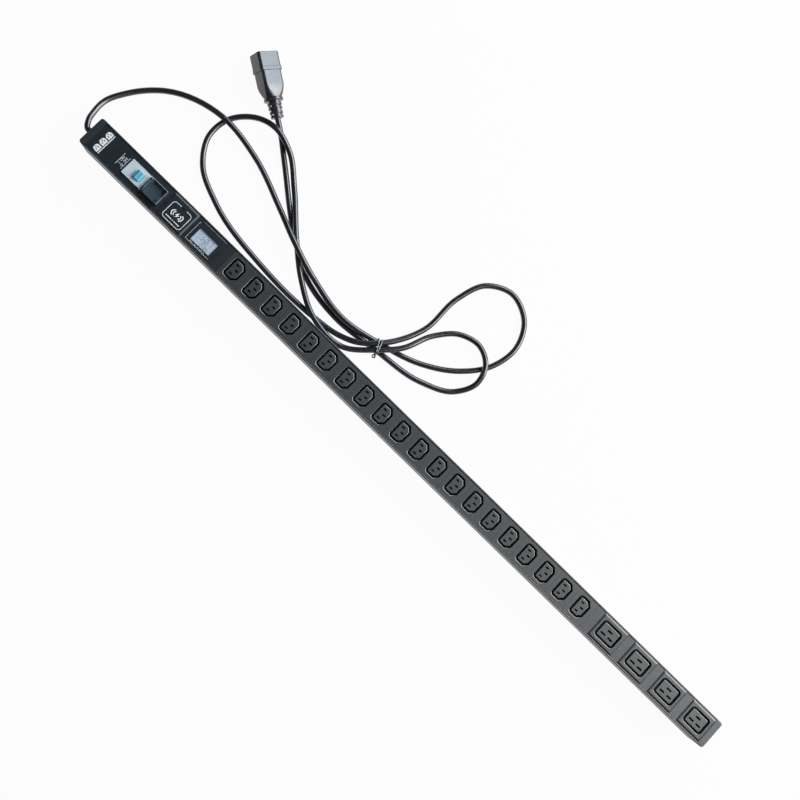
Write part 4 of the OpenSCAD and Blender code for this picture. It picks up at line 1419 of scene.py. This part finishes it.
@dataclass(frozen=True)
class SurgePrint:
    """White frame broken at the lamp, a bolt between arcs over three bars, and a painted highlight
    line along the plate's +Y edge.
    """

    half_x: float = 0.0158
    half_y: float = 0.0131
    corner: float = 0.0046
    line: float = 0.0008
    lamp_x: float = 0.001
    gap: float = 0.0042
    bolt: tuple[tuple[float, float], ...] = (
        (1.32, 4.75), (-2.86, -0.57), (-0.33, -0.57), (-1.54, -4.75), (3.08, 0.95), (0.44, 0.95),
    )
    symbol_y: float = 0.0005
    arcs: tuple[float, ...] = (0.006, 0.0092)
    arc_half: float = 50.0
    arc_squash: float = 0.62
    arc_width: float = 0.0014
    bars: tuple[tuple[float, float], ...] = (
        (-0.0118, -0.0022), (-0.001, 0.0012), (0.0024, 0.0118),
    )
    bar_y: float = -0.0085
    bar_width: float = 0.0011
    edge_inset: float = 0.004
    edge_y: float = 0.0187
    edge_end: tuple[float, float] = (0.0022, 0.0172)
    edge_width: float = 0.0005

    def frame_path(self) -> np.ndarray:
        """The frame's line: a rounded rectangle without what is nearer to the lamp than the gap.

        Returns:
            Points by 2, from one side of the lamp round to the other.
        """
        ring = rounded_ring([self.half_x], [self.half_y], [self.corner], 9)[0]
        path = fine_path(np.vstack([ring, ring[:1]]), 24)[:-1]
        away = np.linalg.norm(path - np.array([self.lamp_x, self.half_y]), axis=1) > self.gap
        first = int(np.flatnonzero(away & ~np.roll(away, 1))[0])
        return np.roll(path, -first, 0)[np.roll(away, -first)]

    def symbol(self) -> bpy.types.Object:
        """The bolt, the arcs beside it and the bars under it.

        Returns:
            One piece.
        """
        bolt = prism("bolt", np.array(self.bolt) * MM)
        parts = [moved(bolt, Matrix.Translation((0, self.symbol_y, 0)))]
        swing = np.radians(np.linspace(-self.arc_half, self.arc_half, 13))
        for reach in self.arcs:
            for side in (-1, 1):
                x, y = side * reach * np.cos(swing), reach * np.sin(swing) * self.arc_squash
                arc = np.column_stack([x, y + self.symbol_y])
                parts.append(strip("arc", arc, self.arc_width))
        for start, end in self.bars:
            parts.append(level_line("bar", start, end, self.bar_y, self.bar_width))
        return joined("surge_symbol", parts)

    def build(self, camera: PhotoCamera) -> None:
        """Lays the frame and the symbol on the surge module's plate, and a painted highlight line
        along its edge.

        Args:
            camera: the photo's camera.
        """
        around = strip("surge_frame", self.frame_path(), self.line)
        print_on(around, camera, "surge_frame", "surge_plate", Reading.ALONG_X)
        print_on(self.symbol(), camera, "surge_frame", "surge_plate", Reading.ALONG_X)
        # Painted highlight: a pale line along the plate's +Y edge, turning in at its far end.
        low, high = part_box("surge_plate")
        back, y = self.edge_end
        rim = [
            [low.x + self.edge_inset, self.edge_y],
            [high.x - self.edge_inset, self.edge_y],
            [high.x - back, y],
        ]
        edge = strip("surge_edge_highlight", np.array(rim), self.edge_width)
        lay_print(edge, Vector((0, 0, high.z)), Reading.ALONG_X, PAINTED_EDGE_HIGHLIGHT)


SEGMENTS: dict[str, str] = {
    "0": "abcdef", "1": "bc", "2": "abged", "3": "abgcd", "4": "fgbc", "5": "afgcd",
    "8": "abcdefg",
}


@dataclass(frozen=True)
class MeterFace:
    """Print of the meter: frame and marks, a painted highlight line along the plate's +Y edge, dark
    mask and three rows of digits.
    """

    half_x: float = 0.0209
    half_y: float = 0.0143
    turned_in: float = 0.0015
    line: float = 0.0004
    marks: tuple[tuple[float, float], ...] = (
        (-0.014, 0.0035), (-0.0095, 0.0015), (-0.0065, 0.004), (-0.001, 0.003),
        (0.0035, 0.0045), (0.0095, 0.002),
    )
    mark_lift: float = 0.0015
    mark_width: float = 0.0006
    edge_y: float = 0.0184
    edge_ends: tuple[float, float] = (0.004, 0.003)
    edge_width: float = 0.0005
    seen_x: float = 0.0165
    seen_y: float = 0.0098
    seen_at: tuple[float, float] = (0.0016, -0.0012)
    seen_corner: float = 0.0006
    rows: tuple[str, ...] = ("12.4", "230.1", "2.85")
    rows_end: float = 0.013
    rows_top: float = 0.0036
    row_step: float = 0.0066
    digit: tuple[float, float] = (0.0026, 0.0046)
    digit_gap: float = 0.0014
    point_step: float = 0.0016
    point_at: float = 0.0004
    point_size: float = 0.0006
    segment_width: float = 0.0008
    segment_inset: float = 0.12

    def number(self, text: str, right: float, base: float) -> list[bpy.types.Object]:
        """Digits of one row, set from its right end.

        Args:
            text: digits and a point.
            right: x of the row's right end.
            base: y of its base line.

        Returns:
            The lit segments.
        """
        w, h = self.digit
        places = {
            "a": ((0, h), (w, h)), "b": ((w, h), (w, h / 2)), "c": ((w, h / 2), (w, 0)),
            "d": ((0, 0), (w, 0)), "e": ((0, 0), (0, h / 2)), "f": ((0, h / 2), (0, h)),
            "g": ((0, h / 2), (w, h / 2)),
        }
        size = self.point_size
        parts, x = [], right
        for sign in reversed(text):
            if sign == ".":
                x -= self.point_step
                dot = x + self.point_at
                parts.append(level_line("point", dot, dot + size, base, size))
                continue
            x -= w + self.digit_gap
            for key in SEGMENTS[sign]:
                a, b = (np.array(end) for end in places[key])
                inset = (b - a) * self.segment_inset
                line = np.array([a + inset, b - inset]) + [x, base]
                parts.append(strip("segment", line, self.segment_width))
        return parts

    def frame_print(self) -> bpy.types.Object:
        """The frame, open above the window, and the row of marks in it.

        Returns:
            One piece round the origin.
        """
        a, b = self.half_x, self.half_y
        path = np.array([[-a + self.turned_in, b], [-a, b], [-a, -b], [a, -b]])
        parts = [strip("meter_frame", fine_path(path, 29), self.line)]
        for start, size in self.marks:
            y = self.mark_lift - b
            parts.append(level_line("mark", start, start + size, y, self.mark_width))
        return joined("meter_frame", parts)

    def mask(self, half_x: float, half_y: float) -> bpy.types.Object:
        """The dark border of the window, from its rim in to what is seen of the display.

        Args:
            half_x: half the window's length.
            half_y: half its width.

        Returns:
            The border round the origin.
        """
        rings = rounded_ring(
            [half_x, self.seen_x], [half_y, self.seen_y], [self.seen_corner] * 2, 5
        )
        rings[1] += self.seen_at
        outer, inner = (np.column_stack([ring, np.zeros(len(ring))]) for ring in rings)
        up = np.array([0, 0, INK])
        return skin("meter_mask", np.stack([outer, inner, inner + up, outer + up], axis=1), True)

    def build(self) -> None:
        """Lays the frame on the plate, the mask on the window and the digits on the display."""
        low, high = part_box("meter_window")
        middle, half = (low + high) / 2, (high - low) / 2
        tops = {
            name: Vector((middle.x, middle.y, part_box(name)[1].z))
            for name in ("meter_plate", "meter_window", "meter_display")
        }
        lay_print(self.frame_print(), tops["meter_plate"], Reading.ALONG_X, PRINT_GREY)
        # Painted highlight: a pale line along the plate's +Y edge.
        before, after = self.edge_ends
        start, end = before - self.half_x, after + self.half_x
        edge = level_line("meter_edge_highlight", start, end, self.edge_y, self.edge_width)
        lay_print(edge, tops["meter_plate"], Reading.ALONG_X, PAINTED_EDGE_HIGHLIGHT)
        lay_print(self.mask(half.x, half.y), tops["meter_window"], Reading.ALONG_X, MASK)
        parts: list[bpy.types.Object] = []
        for row, text in enumerate(self.rows):
            parts += self.number(text, self.rows_end, self.rows_top - self.row_step * row)
        digits = joined("meter_digits", parts)
        lay_print(digits, tops["meter_display"], Reading.ALONG_X, DIGIT)


@dataclass(frozen=True)
class BreakerMarks:
    """Small I and O on the breaker's face, and a pale painted highlight along two edges of its
    cover.
    """

    size: float = 0.0026
    from_end: float = 0.0045
    from_middle: float = 0.004
    edge_inset: float = 0.0005
    edge_start: float = 0.003
    edge_end: float = 0.001
    edge_width: float = 0.0005

    def build(self) -> None:
        """Lays the marks beside the lever and the painted highlight line on the cover."""
        low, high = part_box("breaker_body")
        for name, sign, side in (("mark_on", "I", 1), ("mark_off", "O", -1)):
            where = Vector((low.x + self.from_end, side * self.from_middle, high.z))
            mark = lettering(name, sign, self.size)
            lay_print(mark, where, Reading.ALONG_Y, PRINT_BLUE)
        # Painted highlight along the cover's +X and +Y top edges.
        low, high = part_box("breaker_cover")
        x, y = high.x - self.edge_inset, high.y - self.edge_inset
        path = np.array([[low.x + self.edge_start, y], [x, y], [x, low.y + self.edge_end]])
        edge = strip("cover_edge_highlight", path, self.edge_width)
        lay_print(edge, Vector((0, 0, high.z)), Reading.ALONG_X, PAINTED_COVER_HIGHLIGHT, "cover")


class OutletKind(Enum):
    """The two kinds of outlet, as their CAD nodes' names begin."""

    C13 = "c13"
    C19 = "c19"


@dataclass(frozen=True)
class GrooveLips:
    """Soft edges of each outlet's groove: one ring on its outer wall, one on the nose, coloured
    lighter than the outlet as a painted highlight.
    """

    outer: tuple[tuple[float, float], ...] = ((3.43, 0.0), (2.82, -0.32), (3.43, -0.6))
    inner: tuple[tuple[float, float], ...] = (
        (-0.72, -0.29), (-0.05, -0.62), (-0.05, -0.9), (-0.6, -0.36),
    )
    small: Triple = (7.9, 11.9, 1.6)
    small_cut: float = 4.8
    large: Triple = (14.0, 10.3, 2.2)

    def outline(self, kind: OutletKind, grow: float, steps: int = 7) -> np.ndarray:
        """Outline of a nose grown outwards, anticlockwise.

        Args:
            kind: C13 has two cut corners on +X, and C19 four round ones.
            grow: distance from the nose, in millimetres.
            steps: points of a round corner.

        Returns:
            Points in metres, alike in number for every distance.
        """
        x, y, r = self.small if kind is OutletKind.C13 else self.large
        x, y, r = x + grow, y + grow, r + grow
        cut = self.small_cut + grow * (2 - math.sqrt(2))
        parts = []
        for sx, sy, start in ((-1, -1, 180), (1, -1, 270), (1, 1, 0), (-1, 1, 90)):
            if kind is OutletKind.C13 and sx > 0:
                ends = [[x - cut, sy * y], [x, sy * (y - cut)]]
                parts.append(np.array(ends if sy < 0 else ends[::-1]))
                continue
            angle = np.radians(start + np.linspace(0, 90, steps))
            middle = np.array([sx * (x - r), sy * (y - r)])
            parts.append(middle + r * np.column_stack([np.cos(angle), np.sin(angle)]))
        return np.concatenate(parts) * MM

    def ring(self, name: str, profile: Sequence[tuple[float, float]]) -> bpy.types.Object:
        """One edge of one outlet: the profile's points each follow their own outline.

        Args:
            name: the outlet's CAD node.
            profile: distance from the nose's outline and height from the plate's top.

        Returns:
            The closed ring.
        """
        low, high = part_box(name)
        sides = []
        for grow, height in profile:
            flat = self.outline(OutletKind(name[:3]), grow)
            sides.append(np.column_stack([flat, np.full(len(flat), height * MM)]))
        piece = skin("lip", np.stack(sides, axis=1), True)
        return moved(piece, Matrix.Translation(((low.x + high.x) / 2, 0, high.z)))

    def build(self) -> bpy.types.Object:
        """Makes all the lips as one piece, in the lighter finish of a painted highlight.

        Returns:
            The lips.
        """
        names = sorted(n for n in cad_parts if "_outlet_" in n)
        rings = [self.ring(name, profile) for name in names for profile in (self.outer, self.inner)]
        return finish_piece(joined("groove_edges", rings), "strip", EDGE_HIGHLIGHT)


@dataclass(frozen=True)
class Screws:
    """Six alike pan-head screws with cross recesses: four in the end caps, two on the clamp."""

    radius: float = 0.0028
    head: float = 0.002
    shank: float = 0.00125
    length: float = 0.016
    point: float = 0.0006
    crown: float = 0.0002
    recess: float = 0.0009
    recess_half: float = 0.00055
    recess_slope: float = 0.0002
    recess_reach: float = 0.66
    reach_slope: float = 0.0004
    cap_at: Triple = (0.5877, 0.0176, 0.005)
    clamp_at: Triple = (-0.5715, 0.0076, 0.0311)

    def one(self, place: Matrix) -> bpy.types.Object:
        """One screw: rings from its tip to the middle of its head, the recess pressed in.

        The head's top is -crown (r / radius)^2. The recess is its depth times two ramps, one
        by the smaller of |x| and |y| under its half width and one by r under its reach.

        Args:
            place: its own frame, +Z out of the head.

        Returns:
            The screw.
        """
        head, tip = self.radius, -self.length
        outer = np.array([
            (self.shank / 2, tip), (self.shank, tip + self.point), (self.shank, -self.head),
            (head, -self.head), (head, -0.0006), (head * 0.94, -self.crown),
        ])
        radii = np.linspace(head * 0.88, head * 0.03, 15)
        r = np.concatenate([outer[:, 0], radii])[:, None]
        z = np.concatenate([outer[:, 1], -self.crown * (radii / head) ** 2])[:, None]
        angle = np.linspace(0, 2 * np.pi, 72, endpoint=False)[None, :]
        x, y = r * np.cos(angle), r * np.sin(angle)
        narrow = np.minimum(np.abs(x), np.abs(y))
        wide = np.clip((self.recess_half - narrow) / self.recess_slope, 0, 1)
        near = np.clip((head * self.recess_reach - r) / self.reach_slope, 0, 1)
        top = np.broadcast_to(z, x.shape) - self.recess * wide * near * (z > -0.001)
        return moved(skin("screw", np.stack([x, y, top], axis=-1)), place)

    def build(self) -> bpy.types.Object:
        """Makes the six as one group, which replaces the plain ones.

        Returns:
            The group.
        """
        x, y, z = self.cap_at
        clamp_x, clamp_y, clamp_z = self.clamp_at
        parts = []
        for side in (-1, 1):
            for end in (-1, 1):
                place = Matrix.Translation((end * x, side * y, z))
                parts.append(self.one(place @ Matrix.Rotation(end * math.pi / 2, 4, "Y")))
            parts.append(self.one(Matrix.Translation((clamp_x, side * clamp_y, clamp_z))))
        piece = joined("cross_screws", parts)
        finish_piece(piece, "strip", STEEL)
        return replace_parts(piece, "case_screws")


# ------------------------------------------------------------------ finishes of the CAD nodes


NODE_FINISHES: dict[str, Finish] = {
    "housing_channel": CHANNEL, "end_cap": CAP, "cord_bush": SPACER, "cord_sheath": CORD,
    "cord_clamp": CLAMP, "earth_stud": STEEL, "label_plate": PLATE, "breaker_plate": PLATE,
    "breaker_body": WHITE, "breaker_lever": BLUE, "breaker_cover": SMOKED, "cover_pin": STEEL,
    "surge_plate": PLATE, "surge_lamp": LENS, "surge_board": BOARD, "surge_discs": DISC,
    "meter_plate": PLATE, "meter_window": WINDOW, "meter_display": DISPLAY,
    "meter_board": BOARD, "meter_coil": COIL, "spacer": SPACER, "c13_outlet": OUTLET,
    "c19_outlet": OUTLET, "busbar": BRASS, "inner_leads": LEAD, "cord": CORD,
    "case_screws": STEEL, "cord_tie": WIRE, "plug_body": PLUG, "plug_blades": BLADE,
}


def dress_model() -> None:
    """Gives each CAD node the finish of the longest name that its own begins with."""
    for name, node in sorted(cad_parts.items()):
        key = max((start for start in NODE_FINISHES if name.startswith(start)), key=len)
        PAINTS.put(node, NODE_FINISHES[key])
    log.info("dressed %d CAD nodes", len(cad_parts))


# ------------------------------------------------------------------ studio


@dataclass(frozen=True)
class SoftBox:
    """Square area lamp aimed at a point."""

    name: str
    place: Triple
    aim: Triple
    size: float
    power: float
    colour: Colour = (1.0, 1.0, 1.0)

    def build(self) -> None:
        """Adds the lamp."""
        data = bpy.data.lights.new(self.name, "AREA")
        data.size = self.size
        data.energy = self.power
        data.color = self.colour
        lamp = linked(self.name, data)
        out = Vector(self.place) - Vector(self.aim)
        turn = out.to_track_quat("Z", "Y").to_matrix().to_4x4()
        lamp.matrix_world = Matrix.Translation(self.place) @ turn
        lamp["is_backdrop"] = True


@dataclass(frozen=True)
class Studio:
    """White floor that keeps a soft shadow, a dim world and four lamps."""

    floor_size: float = 12.0
    floor_white: float = 0.96
    floor_grey: float = 0.45
    sky: Colour = (0.96, 0.98, 1.0)
    world: float = 0.05
    lamps: tuple[SoftBox, ...] = (
        SoftBox("key", (1.75, 1.65, 1.3), (0.0, 0.1, 0.03), 2.4, 125.0),
        SoftBox("far", (1.5, 0.2, 2.15), (0.4, 0.0, 0.04), 1.4, 10.0, (0.97, 0.98, 1.0)),
        SoftBox("window", (-0.1, 1.9, 1.15), (-0.48, 0.22, 0.03), 1.5, 42.0, (0.76, 0.89, 1.0)),
        SoftBox("fill", (-1.6, -1.5, 1.9), (-0.2, 0.0, 0.03), 1.4, 1.0, (0.93, 0.98, 1.0)),
    )

    def floor(self) -> bpy.types.Object:
        """The floor: grey to the lamps, and for its greater part plain white to the eye.

        Camera, glossy and transmission rays see the white, and the rest keeps a faint shadow.

        Returns:
            The floor.
        """
        h = self.floor_size / 2
        corners = np.array([[-h, -h, 0], [h, -h, 0], [h, h, 0], [-h, h, 0]])
        floor = mesh_object("studio_floor", corners, [[0, 1, 2, 3]])
        graph = Graph("floor_white")
        graph.paint(Base_Color=(*[self.floor_grey] * 3, 1.0), Roughness=0.9)
        glow = graph.node("ShaderNodeEmission", {"Color": (1.0, 1.0, 1.0, 1.0), "Strength": 1.0})
        path = graph.node("ShaderNodeLightPath")
        kinds = ("Camera", "Glossy", "Transmission")
        rays = [Signal(graph, path.outputs[f"Is {kind} Ray"]) for kind in kinds]
        seen = rays[0] + rays[1] + rays[2]
        mix = graph.node("ShaderNodeMixShader", {0: seen * self.floor_white})
        graph.tree.links.new(graph.shader.outputs[0], mix.inputs[1])
        graph.tree.links.new(glow.outputs[0], mix.inputs[2])
        graph.tree.links.new(mix.outputs[0], graph.output.inputs["Surface"])
        floor.data.materials.append(graph.material)
        floor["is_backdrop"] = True
        return floor

    def build(self) -> None:
        """Adds the floor, the world and the lamps, and sets how colours are shown."""
        self.floor()
        world = bpy.data.worlds.new("studio_world")
        world.use_nodes = True
        sky = world.node_tree.nodes["Background"]
        sky.inputs["Color"].default_value = (*self.sky, 1.0)
        sky.inputs["Strength"].default_value = self.world
        scene = bpy.context.scene
        scene.world = world
        for lamp in self.lamps:
            lamp.build()
        scene.view_settings.view_transform = "Standard"
        log.info("studio with %d lamps", len(self.lamps))


# ------------------------------------------------------------------ what is measured


@dataclass(frozen=True)
class Measures:
    """Size of the part before it was dressed, and how its points match the photo."""

    camera: PhotoCamera
    cad: tuple[list[float], list[float]]

    def write_size(self) -> None:
        """Updates the view layer; nothing is written."""
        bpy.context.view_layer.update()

    def write_points(self) -> None:
        """Works out how far each named point shows from its place in the photo, in pixels; nothing
        is written.
        """
        shown = [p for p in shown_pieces() if p.type in {"MESH", "CURVE"}]
        tree = surface_tree(shown)
        by_name = {p.name: p for p in shown}
        start = Vector(self.camera.position)
        for name, point in POINTS.items():
            co, _ = surface_points(by_name[point.piece])
            some = co[:: max(1, len(co) // 3000)]
            clear = []
            for place in some:
                reach = Vector(place) - start
                distance = tree.ray_cast(start, reach.normalized())[3]
                clear.append(distance is None or distance > reach.length - 0.0006)
            seen = self.camera.pixels(some[np.array(clear)])
            away = point.anchor.of(seen) - np.array([point.x, point.y])


def main() -> None:
    """Builds the camera, the pieces and the studio, and works out what is measured."""
    logging.basicConfig(level=logging.INFO, format="%(name)s: %(message)s")
    low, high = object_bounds()
    camera = PhotoCamera()
    camera.build()
    measures = Measures(camera, (list(low), list(high)))
    dress_model()
    tie = CordTie().build()
    plug = Plug().build()
    Cord().build([plug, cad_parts["plug_blades"], tie])
    LabelPrint().build(camera)
    SurgePrint().build(camera)
    MeterFace().build()
    BreakerMarks().build()
    GrooveLips().build()
    Screws().build()
    Studio().build()
    measures.write_size()
    measures.write_points()


if __name__ == "__main__":
    main()
